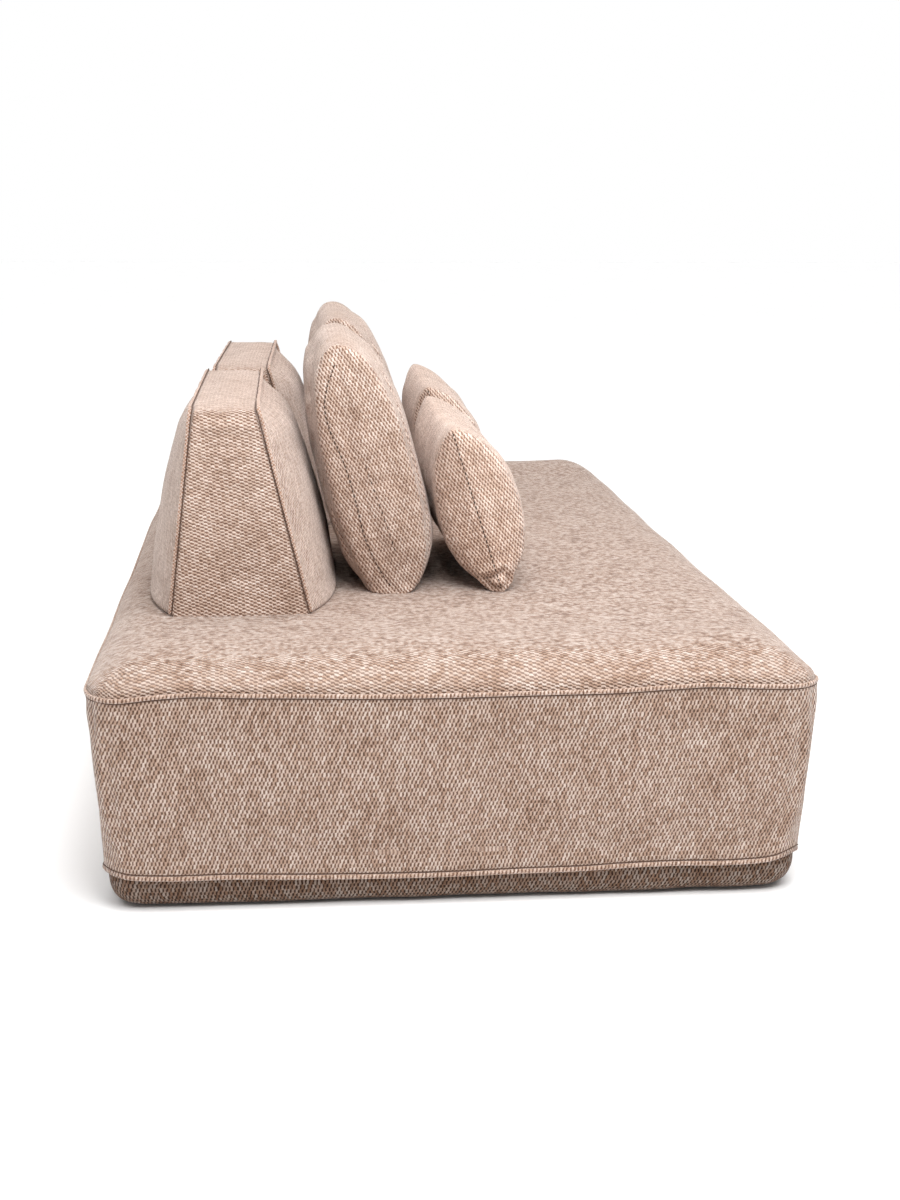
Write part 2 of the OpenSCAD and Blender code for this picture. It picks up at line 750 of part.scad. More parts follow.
// Point of a throw pillow: shares of length and height, side, distance under its face
function pillow_point(u, v, side, d, short) =
    let (
        half = side < 0 ? pillow_front : pillow_rear,
        round_by = v < 0 ? pillow_foot_round : pillow_top_round,
        puff = pow((1 - pow(abs(u), pillow_long_round)) * (1 - pow(abs(v), round_by)), pillow_puff),
        s = u * (pillow_len / 2 - d - short - pillow_end_draw * (1 - v * v)),
        h = pillow_h / 2 - pillow_sink + v * (pillow_h / 2 - d - short - pillow_long_draw * (1 - u * u)))
    leaning(s, side * (seam_gap + (half - d - seam_gap) * puff), h, pillow_lean, d);

pillow_shares = [for (i = [0:pillow_steps]) sin(-90 + 180 * i / pillow_steps)];

module at_pillow() {
    translate([pillow_shift, -cushion_gap - pillow_gap, 0]) children();
}

module pillow_panel(side) {
    outer = [for (v = pillow_shares) [for (u = pillow_shares) pillow_point(u, v, side, 0, 0)]];
    inner = [for (v = pillow_shares) [for (u = pillow_shares) pillow_point(u, v, side, cloth_t, 0)]];
    color(cloth) at_pillow() if (side > 0) sheet(outer, inner, crowned);
    else sheet(inner, outer, crowned);
}

module pillow_fill() {
    color(wadding) at_pillow() sheet(
        [for (v = pillow_shares) [for (u = pillow_shares) pillow_point(u, v, 1, lining, cloth_t)]],
        [for (v = pillow_shares) [for (u = pillow_shares) pillow_point(u, v, -1, lining, cloth_t)]],
        crowned);
}

long_rail(-1);  // front_rail
long_rail(1);  // rear_rail
end_rail(-1);  // left_end_rail
end_rail(1);  // right_end_rail
cross_rails();
corner_blocks();
frame_screws();
cross_webbing();
long_webbing();
insulator_pad();
foam_core();
foam_topper();
side_pad(0);  // rear_pad
side_pad(1);  // left_end_pad
side_pad(2);  // front_pad
side_pad(3);  // right_end_pad
top_cover();
wall_cover(0);  // rear_cover
wall_cover(1);  // left_end_cover
wall_cover(2);  // front_cover
wall_cover(3);  // right_end_cover
edge_seam();
hem_seam();
lower_band(0);  // rear_band
lower_band(1);  // left_end_band
lower_band(2);  // front_band
lower_band(3);  // right_end_band
loop_tape();
hook_tape();
dust_cover();
glides();
glide_screws();
at_left() block_grip();  // left_block_grip
at_left() block_board();  // left_block_board
at_left() block_weight();  // left_block_weight
at_left() block_screws();  // left_block_screws
at_left() block_foam();  // left_block_foam
at_left() block_front();  // left_block_front
at_left() block_rear();  // left_block_rear
at_left() block_boxing();  // left_block_boxing
at_left() block_seams();  // left_block_seams
at_right() block_grip();  // right_block_grip
at_right() block_board();  // right_block_board
at_right() block_weight();  // right_block_weight
at_right() block_screws();  // right_block_screws
at_right() block_foam();  // right_block_foam
at_right() block_front();  // right_block_front
at_right() block_rear();  // right_block_rear
at_right() block_boxing();  // right_block_boxing
at_right() block_seams();  // right_block_seams
at_left() cushion_cover();  // left_cushion_cover
at_left() cushion_fill();  // left_cushion_fill
at_right() cushion_cover();  // right_cushion_cover
at_right() cushion_fill();  // right_cushion_fill
at_left() pillow_panel(-1);  // left_pillow_front
at_left() pillow_panel(1);  // left_pillow_rear
at_left() pillow_fill();  // left_pillow_fill
at_right() pillow_panel(-1);  // right_pillow_front
at_right() pillow_panel(1);  // right_pillow_rear
at_right() pillow_fill();  // right_pillow_fill
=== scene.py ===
import math

import bmesh
import bpy
import numpy as np
from mathutils import Matrix, Vector, kdtree


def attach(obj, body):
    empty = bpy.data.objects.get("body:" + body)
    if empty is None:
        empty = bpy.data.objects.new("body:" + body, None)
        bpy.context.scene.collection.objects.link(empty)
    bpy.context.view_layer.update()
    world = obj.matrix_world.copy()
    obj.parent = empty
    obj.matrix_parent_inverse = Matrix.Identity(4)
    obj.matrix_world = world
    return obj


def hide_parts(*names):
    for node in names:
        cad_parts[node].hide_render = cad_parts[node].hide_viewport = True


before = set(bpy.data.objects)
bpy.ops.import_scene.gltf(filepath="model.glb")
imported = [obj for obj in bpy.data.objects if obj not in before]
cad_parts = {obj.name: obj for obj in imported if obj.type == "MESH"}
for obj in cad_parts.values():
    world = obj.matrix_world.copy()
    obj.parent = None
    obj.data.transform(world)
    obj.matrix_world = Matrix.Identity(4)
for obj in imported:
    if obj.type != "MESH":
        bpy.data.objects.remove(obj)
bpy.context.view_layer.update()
scene = bpy.context.scene
scene.view_settings.view_transform = "Standard"
scene.view_settings.look = "None"

# Sizes in metres, as in the construction model.
HALF_L, HALF_D = 1.1, 0.57          # half length and half depth of the seat base
EDGE_Z, CROWN, RUN = 0.350, 0.042, 0.110
CORNER, CORNER_SHARE = 0.060, 0.55
TAPER, HEM_Z, BAND_TOP = 0.016, 0.058, 0.092
REST_Z = EDGE_Z + CROWN + 0.0003     # height on which the loose pieces stand
BLOCK_HALF, BLOCK_HIGH = 0.3525, 0.356
BLOCK_DEEP, FRONT_SLOPE, REAR_SLOPE = 0.235, 0.085, 0.044  # depth at the foot, and what the top loses
BLOCK_FRONT, BLOCK_REAR = 0.066, 0.060  # how far a backrest's panels bulge
CUSHION_END = 9.0                    # squareness of a cushion's ends
CUSHION_MIDDLE, CUSHION_RISE = 0.234, 0.243    # up the lean: the middle, and from there to the top
CUSHION_LEAN, PILLOW_LEAN = 14, 17.5    # degrees
CUSHION_PLACE, PILLOW_PLACE = (0.061, -0.1605, 0), (0.075, -0.3475, 0)
PITCH_U, PITCH_V = 0.00602, 0.01294  # pitches of the weave's staggered cells
DASH, DASH_GAP = 0.0062, 0.0030      # a stitch and the space to the next
CELL = 0.0095                        # grid step of the cushions and pillows


# Camera

def photo_camera():
    yaw, pitch, roll = 0.0913728, 0.2186562, -0.0036668
    forward = np.array([math.cos(yaw) * math.cos(pitch), -math.sin(yaw) * math.cos(pitch), -math.sin(pitch)])
    right = np.array([-math.sin(yaw), -math.cos(yaw), 0.0])
    down = np.cross(forward, right)
    across = right * math.cos(roll) + down * math.sin(roll)
    below = down * math.cos(roll) - right * math.sin(roll)
    data = bpy.data.cameras.new("photo_camera")
    data.sensor_fit, data.sensor_width, data.lens = "AUTO", 36, 53.635
    data.dof.use_dof = False
    cam = bpy.data.objects.new("photo_camera", data)
    scene.collection.objects.link(cam)
    m = Matrix.Identity(4)
    for k in range(3):
        m[k][0], m[k][1], m[k][2] = across[k], -below[k], -forward[k]
        m[k][3] = (-3.7158, 0.2568, 1.0780)[k]
    cam.matrix_world = m
    scene.camera = cam


# Curves and noise

def smoothstep(a, b, x):
    t = np.clip((x - a) / (b - a), 0, 1)
    return t * t * (3 - 2 * t)


def bell(x, width):
    """1 at 0, falling to 0 on both sides."""
    return np.exp(-((x / width) ** 2))


def signed_power(a, e):
    return np.sign(a) * np.abs(a) ** e


def curve(x, pairs):
    """Smooth value at x through (place, value) pairs."""
    px, py = np.array(pairs, float).T
    slope = np.gradient(py, px)
    x = np.clip(x, px[0], px[-1])
    i = np.clip(np.searchsorted(px, x, side="right") - 1, 0, len(px) - 2)
    h = px[i + 1] - px[i]
    t = (x - px[i]) / h
    return (py[i] * (1 + 2 * t) * (1 - t) ** 2 + slope[i] * h * t * (1 - t) ** 2
            + py[i + 1] * t * t * (3 - 2 * t) - slope[i + 1] * h * t * t * (1 - t))


def lengths(line):
    """Length along a line at each of its points."""
    return np.concatenate([[0], np.cumsum(np.linalg.norm(np.diff(line, axis=0), axis=1))])


def points_at(line, marks):
    """Points of a line at given lengths along it."""
    run = lengths(line)
    return np.stack([np.interp(marks, run, line[:, k]) for k in range(3)], -1)


def even_places(f, a, b, step):
    """Parameters from a to b at which the curve f advances in even steps, and its length at each."""
    t = np.linspace(a, b, 2000)
    run = lengths(np.stack(f(t), -1))
    n = max(2, int(round(run[-1] / step)))
    marks = np.linspace(0, run[-1], n + 1)
    return np.interp(marks, run, t), marks


def ripple(p, seed, size, parts=7):
    """Soft uneven value between about -1 and 1 that changes over size metres."""
    rng = np.random.default_rng(seed)
    total = np.zeros(p.shape[:-1])
    for _ in range(parts):
        k = rng.normal(size=3)
        k *= rng.uniform(0.6, 1.5) * 2 * math.pi / size / np.linalg.norm(k)
        total += np.sin(p @ k + rng.uniform(0, 2 * math.pi))
    return total / math.sqrt(parts)


# Meshes

class Form:
    """Collects grids of points with their weave coordinates into one mesh."""

    def __init__(self):
        self.points, self.faces, self.uvs, self.count = [], [], [], 0

    def grid(self, p, u, v, flip=False):
        m, n = p.shape[:2]
        u, v = np.broadcast_to(u, (m, n)), np.broadcast_to(v, (m, n))
        k = np.arange(m * n).reshape(m, n)
        a, b, c, d = k[:-1, :-1], k[:-1, 1:], k[1:, 1:], k[1:, :-1]
        f = np.stack([a, d, c, b] if flip else [a, b, c, d], -1).reshape(-1, 4)
        self.points.append(p.reshape(-1, 3))
        self.faces.append(f + self.count)
        self.uvs.append(np.stack([u.ravel()[f], v.ravel()[f]], -1).reshape(-1, 2))
        self.count += m * n
        return self

    def build(self, name, merge=2e-5, closed=True):
        mesh = bpy.data.meshes.new(name)
        mesh.from_pydata(np.concatenate(self.points).tolist(), [], np.concatenate(self.faces).tolist())
        layer = mesh.uv_layers.new(name="weave")
        layer.data.foreach_set("uv", np.concatenate(self.uvs).astype(np.float32).ravel())
        bm = bmesh.new()
        bm.from_mesh(mesh)
        bmesh.ops.remove_doubles(bm, verts=bm.verts, dist=merge)
        bmesh.ops.dissolve_degenerate(bm, dist=1e-6, edges=bm.edges)
        if closed:
            bmesh.ops.recalc_face_normals(bm, faces=bm.faces)
        bm.to_mesh(mesh)
        bm.free()
        mesh.polygons.foreach_set("use_smooth", [True] * len(mesh.polygons))
        obj = bpy.data.objects.new(name, mesh)
        scene.collection.objects.link(obj)
        return obj


def triples(items, key):
    a = np.empty(len(items) * 3, np.float32)
    items.foreach_get(key, a)
    return a.reshape(-1, 3).astype(float)


def coords(mesh):
    return triples(mesh.vertices, "co")


def set_coords(mesh, a):
    mesh.vertices.foreach_set("co", a.astype(np.float32).ravel())
    mesh.update()


def normals(mesh):
    return triples(mesh.vertex_normals, "vector")


def applied(obj):
    """Replaces the object's mesh by what its modifiers make of it."""
    dg = bpy.context.evaluated_depsgraph_get()
    mesh = bpy.data.meshes.new_from_object(obj.evaluated_get(dg), preserve_all_data_layers=True, depsgraph=dg)
    obj.modifiers.clear()
    obj.data = mesh
    return obj


def subdivided(obj):
    mod = obj.modifiers.new("detail", "SUBSURF")
    mod.levels = mod.render_levels = 1
    mod.uv_smooth = "NONE"
    return applied(obj)


def away_from(points, lines):
    """Distance of each point from the nearest of the lines' points."""
    dense = []
    for line in lines:
        total = lengths(line)[-1]
        dense.append(points_at(line, np.linspace(0, total, int(total / 0.0015) + 2)))
    dense = np.concatenate(dense)
    tree = kdtree.KDTree(len(dense))
    for i, p in enumerate(dense):
        tree.insert(p, i)
    tree.balance()
    return np.array([tree.find(p)[2] for p in points])


def weighted(obj, name, weights):
    group = obj.vertex_groups.new(name=name)
    for i in np.nonzero(weights > 0.02)[0]:
        group.add([int(i)], float(weights[i]), "REPLACE")
    return name


def inflate(obj, held, gather, start, outer, inner, side, pressure, bending=2.0):
    """Swells the form as stuffed cloth, then keeps it between inner and outer of its drawn face.

    It starts a little inside, holds where held is near 1 and shrinks where gather is.
    """
    mesh = obj.data
    rest, out = coords(mesh), normals(mesh)
    free = 1 - held
    set_coords(mesh, rest - out * (start * free)[:, None])
    mod = obj.modifiers.new("cloth", "CLOTH")
    s = mod.settings
    s.quality, s.mass = 5, 0.3
    s.tension_stiffness = s.compression_stiffness = 15
    s.shear_stiffness, s.bending_stiffness = 8, bending
    s.use_pressure, s.uniform_pressure_force = True, pressure
    s.effector_weights.gravity = 0
    s.vertex_group_mass = weighted(obj, "held", held)
    if gather is not None:
        s.vertex_group_shrink, s.shrink_min, s.shrink_max = weighted(obj, "gathered", gather), 0.0, 0.12
    mod.collision_settings.use_collision = False
    mod.point_cache.frame_start, mod.point_cache.frame_end = 1, 20
    for f in range(1, 21):
        scene.frame_set(f)
    made = obj.evaluated_get(bpy.context.evaluated_depsgraph_get()).to_mesh()
    moved = coords(made) - rest
    obj.modifiers.clear()
    scene.frame_set(1)
    along = np.einsum("ij,ij->i", moved, out)
    slid = moved - out * along[:, None]
    length = np.maximum(np.linalg.norm(slid, axis=1), 1e-9)
    slid *= (np.minimum(length, side) / length)[:, None]
    set_coords(mesh, rest + out * np.clip(along, -inner, outer)[:, None] + slid)
    obj.vertex_groups.clear()
    return obj


def sweep(form, path, out, up, section, ribs=0.0, closed=False, ribbed=True):
    """Adds a closed section swept along a path; out and up give the section's axes at each point."""
    n = len(path)
    section = np.array(section)
    middle = section.mean(0)
    swell = 1 + ribs * np.where(np.arange(n) % 2 == 0, 1, -1)
    if not closed:
        ends = np.minimum(np.arange(n), np.arange(n)[::-1])
        swell = swell * np.clip((ends + 0.25) / 3, 0.05, 1) ** 0.5
    shape = middle + (section[None] - middle) * swell[:, None, None]
    p = path[:, None] + out[:, None] * shape[..., :1] + up[:, None] * shape[..., 1:]
    p = np.concatenate([p, p[:, :1]], 1)
    run = lengths(path)
    k = p.shape[1]
    width = lengths(p[n // 2])
    v = (width / width[-1] - 0.5) * PITCH_V * 0.8 if ribbed else width
    if closed:
        p = np.concatenate([p, p[:1]], 0)
        run = np.append(run, run[-1] + np.linalg.norm(path[0] - path[-1]))
    form.grid(p, run[:, None], v[None, :])
    if not closed:
        for ring, r in ((p[0], run[0]), (p[-1], run[-1])):
            mid = ring[:-1].mean(0)
            form.grid(np.stack([ring, np.broadcast_to(mid, ring.shape)]), r, np.zeros((2, k)))
    return form


def oval(width, height, at=(0, 0), n=10, power=2.4):
    a = np.arange(n) / n * 2 * math.pi
    return [(at[0] + width / 2 * float(signed_power(np.cos(t), 2 / power)),
             at[1] + height / 2 * float(signed_power(np.sin(t), 2 / power))) for t in a]


# Materials

class Tree:
    def __init__(self, name):
        self.mat = bpy.data.materials.new(name)
        self.mat.use_nodes = True
        self.t = self.mat.node_tree
        self.t.nodes.clear()
        self.out = self.node("OutputMaterial")
        self.shader = self.node("BsdfPrincipled")
        self.t.links.new(self.shader.outputs["BSDF"], self.out.inputs["Surface"])

    def node(self, kind):
        return self.t.nodes.new("ShaderNode" + kind)

    def put(self, socket, value):
        if isinstance(value, bpy.types.NodeSocket):
            self.t.links.new(value, socket)
        elif value is not None:
            socket.default_value = value

    def math(self, op, a, b=None, clamp=False):
        n = self.node("Math")
        n.operation, n.use_clamp = op, clamp
        self.put(n.inputs[0], a)
        self.put(n.inputs[1], b)
        return n.outputs[0]

    def about_half(self, value, amount):
        """The value's distance from one half, times an amount."""
        return self.math("MULTIPLY", self.math("SUBTRACT", value, 0.5), amount)

    def noise(self, vector, scale, detail=2.0, rough=0.5):
        n = self.node("TexNoise")
        self.put(n.inputs["Vector"], vector)
        n.inputs["Scale"].default_value = scale
        n.inputs["Detail"].default_value = detail
        n.inputs["Roughness"].default_value = rough
        return n.outputs["Fac"], n.outputs["Color"]

    def mapped(self, value, a, b, c, d, smooth=False):
        n = self.node("MapRange")
        n.interpolation_type = "SMOOTHSTEP" if smooth else "LINEAR"
        for k, x in zip(range(5), (value, a, b, c, d)):
            self.put(n.inputs[k], x)
        return n.outputs[0]

    def ramp(self, value, stops):
        n = self.node("ValToRGB")
        self.put(n.inputs[0], value)
        e = n.color_ramp.elements
        while len(e) < len(stops):
            e.new(0.5)
        for x, (at, colour) in zip(e, stops):
            x.position, x.color = at, (*linear(colour), 1)
        return n.outputs[0]

    def mix(self, factor, a, b, kind="MIX"):
        n = self.node("Mix")
        n.data_type, n.blend_type = "RGBA", kind
        self.put(n.inputs[0], factor)
        self.put(n.inputs[6], a)
        self.put(n.inputs[7], b)
        return n.outputs[2]

    def vector(self, x, y, z=0.0):
        n = self.node("CombineXYZ")
        for k, value in enumerate((x, y, z)):
            self.put(n.inputs[k], value)
        return n.outputs[0]

    def parts(self, vector):
        n = self.node("SeparateXYZ")
        self.put(n.inputs[0], vector)
        return n.outputs

    def bump(self, height, distance, strength=1.0):
        n = self.node("Bump")
        n.inputs["Strength"].default_value = strength
        n.inputs["Distance"].default_value = distance
        self.put(n.inputs["Height"], height)
        self.t.links.new(n.outputs[0], self.shader.inputs["Normal"])

    def place(self):
        return self.node("TexCoord").outputs["Object"]


def linear(colour):
    """Linear values of a colour given as 0 to 255."""
    return tuple(c / 255 / 12.92 if c / 255 <= 0.04045 else ((c / 255 + 0.055) / 1.055) ** 2.4 for c in colour)


def weave(name, tone=1.0, contrast=1.0, sheen=0.45, gaps=1.0, pale=0.0, painted_top_light=0.0):
    """Coarse chenille weave: staggered light ovals of yarn over darker gaps, uneven in tone.

    gaps scales the gaps' tone, pale draws the colours to grey, painted_top_light paints light where the cloth
    lies flat: flecks of contrast and gaps partly filled with yarn colour, a painted lighter top.
    """
    def shade(colour, by=1.0):
        grey = sum(colour) / 3
        return [min(250, (c + (grey - c) * pale) * tone * by) for c in colour]
    t = Tree(name)
    uv = t.node("UVMap")
    uv.uv_map = "weave"
    u, v, _ = t.parts(uv.outputs[0])
    for scale, detail, along, across in ((55, 2, 0.0030, 0.0036), (260, 1, 0.0026, 0.0040)):
        _, wander = t.noise(t.place(), scale, detail)
        wander_u, wander_v, _ = t.parts(wander)
        u = t.math("ADD", u, t.about_half(wander_u, along))
        v = t.math("ADD", v, t.about_half(wander_v, across))
    x = t.math("DIVIDE", u, PITCH_U)
    y = t.math("DIVIDE", v, PITCH_V)
    p, q = t.math("ADD", x, y), t.math("SUBTRACT", x, y)
    cp = t.math("COSINE", t.math("MULTIPLY", p, 2 * math.pi))
    cq = t.math("COSINE", t.math("MULTIPLY", q, 2 * math.pi))
    hill = t.math("ADD", t.math("MULTIPLY", cp, 0.42), t.math("MULTIPLY", cq, 0.58))
    cell = t.node("TexWhiteNoise")
    cell.noise_dimensions = "3D"
    t.put(cell.inputs["Vector"], t.vector(t.math("ROUND", p), t.math("ROUND", q), 0.5))
    patches, _ = t.noise(t.vector(u, t.math("MULTIPLY", v, 0.28)), 62, 2, 0.6)
    broad, _ = t.noise(t.place(), 13, 3)
    fuzz, _ = t.noise(t.place(), 900, 2, 0.7)
    level = 0.58
    for value, amount in ((cell.outputs["Value"], 0.56 * contrast), (patches, 0.45 * contrast), (broad, 0.55)):
        level = t.math("ADD", level, t.about_half(value, amount))
    if painted_top_light:    # painted light: flecks of contrast on faces that look up
        facing = t.parts(t.node("NewGeometry").outputs["Normal"])[2]
        painted_top_spots, _ = t.noise(t.place(), 95, 1, 0.7)
        amount = t.mapped(facing, 0.75, 0.97, 0.0, painted_top_light)
        level = t.math("ADD", level, t.about_half(painted_top_spots, amount))
    level = t.math("ADD", level, t.about_half(fuzz, 0.55), clamp=True)
    yarn = t.ramp(level, [(0.0, shade((140, 107, 87))), (0.4, shade((186, 156, 137))),
                          (0.72, shade((207, 184, 170))), (1.0, shade((226, 209, 198)))])
    gap = t.ramp(level, [(0.0, shade((66, 43, 33), gaps)), (1.0, shade((122, 91, 73), gaps))])
    cover = t.mapped(t.math("ADD", hill, t.about_half(fuzz, 0.7)), -0.52, 0.28, 0.0, 1.0, smooth=True)
    # Painted light: on faces that look up the gaps are partly filled with yarn colour, so the top reads
    # lighter.
    if painted_top_light:
        cover = t.math("MAXIMUM", cover, t.mapped(facing, 0.2, 0.75, 0.0, 0.33))
    t.put(t.shader.inputs["Base Color"], t.mix(cover, gap, yarn))
    rough, _ = t.noise(t.place(), 240, 2)
    t.put(t.shader.inputs["Roughness"], t.mapped(rough, 0, 1, 0.84, 1.0))
    for key, value in (("Specular IOR Level", 0.12), ("Sheen Weight", sheen), ("Sheen Roughness", 0.45),
                       ("Sheen Tint", (0.93, 0.90, 0.88, 1))):
        t.shader.inputs[key].default_value = value
    fleck, _ = t.noise(t.place(), 120, 1)
    height = t.math("ADD", t.math("ADD", hill, t.math("MULTIPLY", fuzz, 0.7)), t.math("MULTIPLY", fleck, 2.4))
    t.bump(height, 0.0011, 0.8)
    return t.mat


def spun(name, dark, light, scale, stretch=(1, 1, 1), rough=0.8, metal=0.0, bump=0.0003):
    """Uneven material between two colours, with its grain drawn out by stretch."""
    t = Tree(name)
    x, y, z = t.parts(t.place())
    at = t.vector(*(t.math("MULTIPLY", a, by) for a, by in zip((x, y, z), stretch)))
    fac, _ = t.noise(at, scale, 4, 0.6)
    fine, _ = t.noise(at, scale * 7, 2, 0.6)
    both = t.math("ADD", t.math("MULTIPLY", fac, 0.7), t.math("MULTIPLY", fine, 0.3))
    t.put(t.shader.inputs["Base Color"], t.ramp(both, [(0.3, dark), (0.7, light)]))
    t.put(t.shader.inputs["Roughness"], t.mapped(fine, 0, 1, rough - 0.08, rough + 0.08))
    t.shader.inputs["Metallic"].default_value = metal
    t.bump(both, bump, 0.6)
    return t.mat


def dress(obj, material):
    obj.data.materials.clear()
    obj.data.materials.append(material)
    return obj


# Seat base

def corner_radius(inset):
    return np.maximum(CORNER - CORNER_SHARE * inset, 0.0006)


def rounded(x, y, inset):
    """Point of the rounded outline at an inset, for a point of the square outline at that inset."""
    hx, hy, r = HALF_L - inset, HALF_D - inset, corner_radius(inset)
    on_end = (hx - np.abs(x)) <= (hy - np.abs(y)) + 1e-9
    leg = np.where(on_end, hy - np.abs(y), hx - np.abs(x))
    near = leg < r
    turn = np.where(near, 1 - leg / r, 0) * math.pi / 4
    turn = np.where(on_end, turn, math.pi / 2 - turn)
    ax = np.where(near, hx - r + r * np.cos(turn), np.abs(x))
    ay = np.where(near, hy - r + r * np.sin(turn), np.abs(y))
    return np.sign(x) * ax, np.sign(y) * ay


def plan_normal(x, y, inset):
    r = corner_radius(inset)
    dx = np.maximum(np.abs(x) - (HALF_L - inset - r), 0) * np.sign(x)
    dy = np.maximum(np.abs(y) - (HALF_D - inset - r), 0) * np.sign(y)
    n = np.stack([dx, dy, np.zeros_like(dx)], -1)
    return n / np.maximum(np.linalg.norm(n, axis=-1, keepdims=True), 1e-9)


def end_share(x):
    """1 at the left end, which the photograph shows, and 0 elsewhere."""
    return smoothstep(-1.03, -1.075, x)


def near_corner(x, y, far, close):
    return smoothstep(far, close, HALF_D - np.abs(y)) * smoothstep(far, close, HALF_L - np.abs(x))


def flat(x, y):
    return np.stack([x, y, np.zeros_like(x)], -1)


def edge_wave(x, y):
    """How far the edge seam wanders up and down."""
    near = curve(y, [(-0.57, -0.002), (-0.51, -0.002), (-0.45, 0.0), (-0.39, 0.003), (-0.33, 0.001),
                     (-0.25, -0.003), (-0.14, -0.004), (0.15, -0.004), (0.25, -0.001), (0.33, 0.001),
                     (0.406, 0.004), (0.465, 0.001), (0.525, -0.004), (0.57, -0.002)])
    return end_share(x) * near + (1 - end_share(x)) * (0.0026 * ripple(flat(x, y), 4, 0.33) - 0.001)


def hem_wave(x, y):
    """How far the hem seam wanders up and down."""
    near = curve(y, [(-0.57, 0.009), (-0.53, 0.006), (-0.50, -0.002), (-0.45, -0.006), (-0.35, -0.005),
                     (-0.27, -0.006), (-0.2, -0.009), (-0.1, -0.010), (0.0, -0.012), (0.1, -0.012),
                     (0.26, -0.009), (0.35, -0.006), (0.45, -0.006), (0.506, -0.003), (0.536, 0.001),
                     (0.57, 0.004)])
    far = 0.003 * ripple(flat(x, y), 9, 0.4) - 0.006 + 0.011 * near_corner(x, y, 0.10, 0.02)
    return end_share(x) * near + (1 - end_share(x)) * far


def outline(inset, step):
    """Even points around the plan at an inset, without a repeated end."""
    r = float(corner_radius(inset))
    hx, hy = HALF_L - inset - r, HALF_D - inset - r
    pts = []
    for sx, sy, a0 in ((1, 1, 0), (-1, 1, 90), (-1, -1, 180), (1, -1, 270)):
        for a in np.radians(np.linspace(a0, a0 + 90, 60)):
            pts.append((sx * hx + r * math.cos(a), sy * hy + r * math.sin(a)))
    pts = np.array(pts + pts[:1])
    run = lengths(pts)
    n = 2 * int(round(run[-1] / step / 2))
    at = np.arange(n) / n * run[-1]
    return np.interp(at, run, pts[:, 0]), np.interp(at, run, pts[:, 1])


CROWN_PAIRS = [(0, 0), (0.05, 0.3), (0.15, 0.56), (0.32, 0.78), (0.6, 0.94), (1, 1)]
WALL_LINE = [(0, 1), (0, 0.83), (0.12, 0.6), (0.56, 0.3), (1, 0.1), (1, 0)]


def seat_height(x, y, inset):
    t = np.clip(inset / RUN, 0, 1)
    z = EDGE_Z + CROWN * curve(t, CROWN_PAIRS)
    end_in = HALF_L - np.abs(x)
    side_in = HALF_D - np.abs(y)
    roll = smoothstep(0.0, 0.065, end_in) * smoothstep(0.335, 0.12, end_in)
    z = z + 0.014 * roll * smoothstep(0.0, 0.10, side_in) * (0.9 - 0.35 * smoothstep(-0.2, 0.5, y))
    p, clear = flat(x, y), smoothstep(0.335, 0.20, end_in)
    z = z + clear * 0.0016 * ripple(p, 21, 0.24) * smoothstep(0.0, 0.05, inset)
    z = z - 0.0012 * (1 - clear) * (0.5 + 0.5 * ripple(p, 22, 0.30))
    return z + edge_wave(x, y) * bell(inset, 0.045)


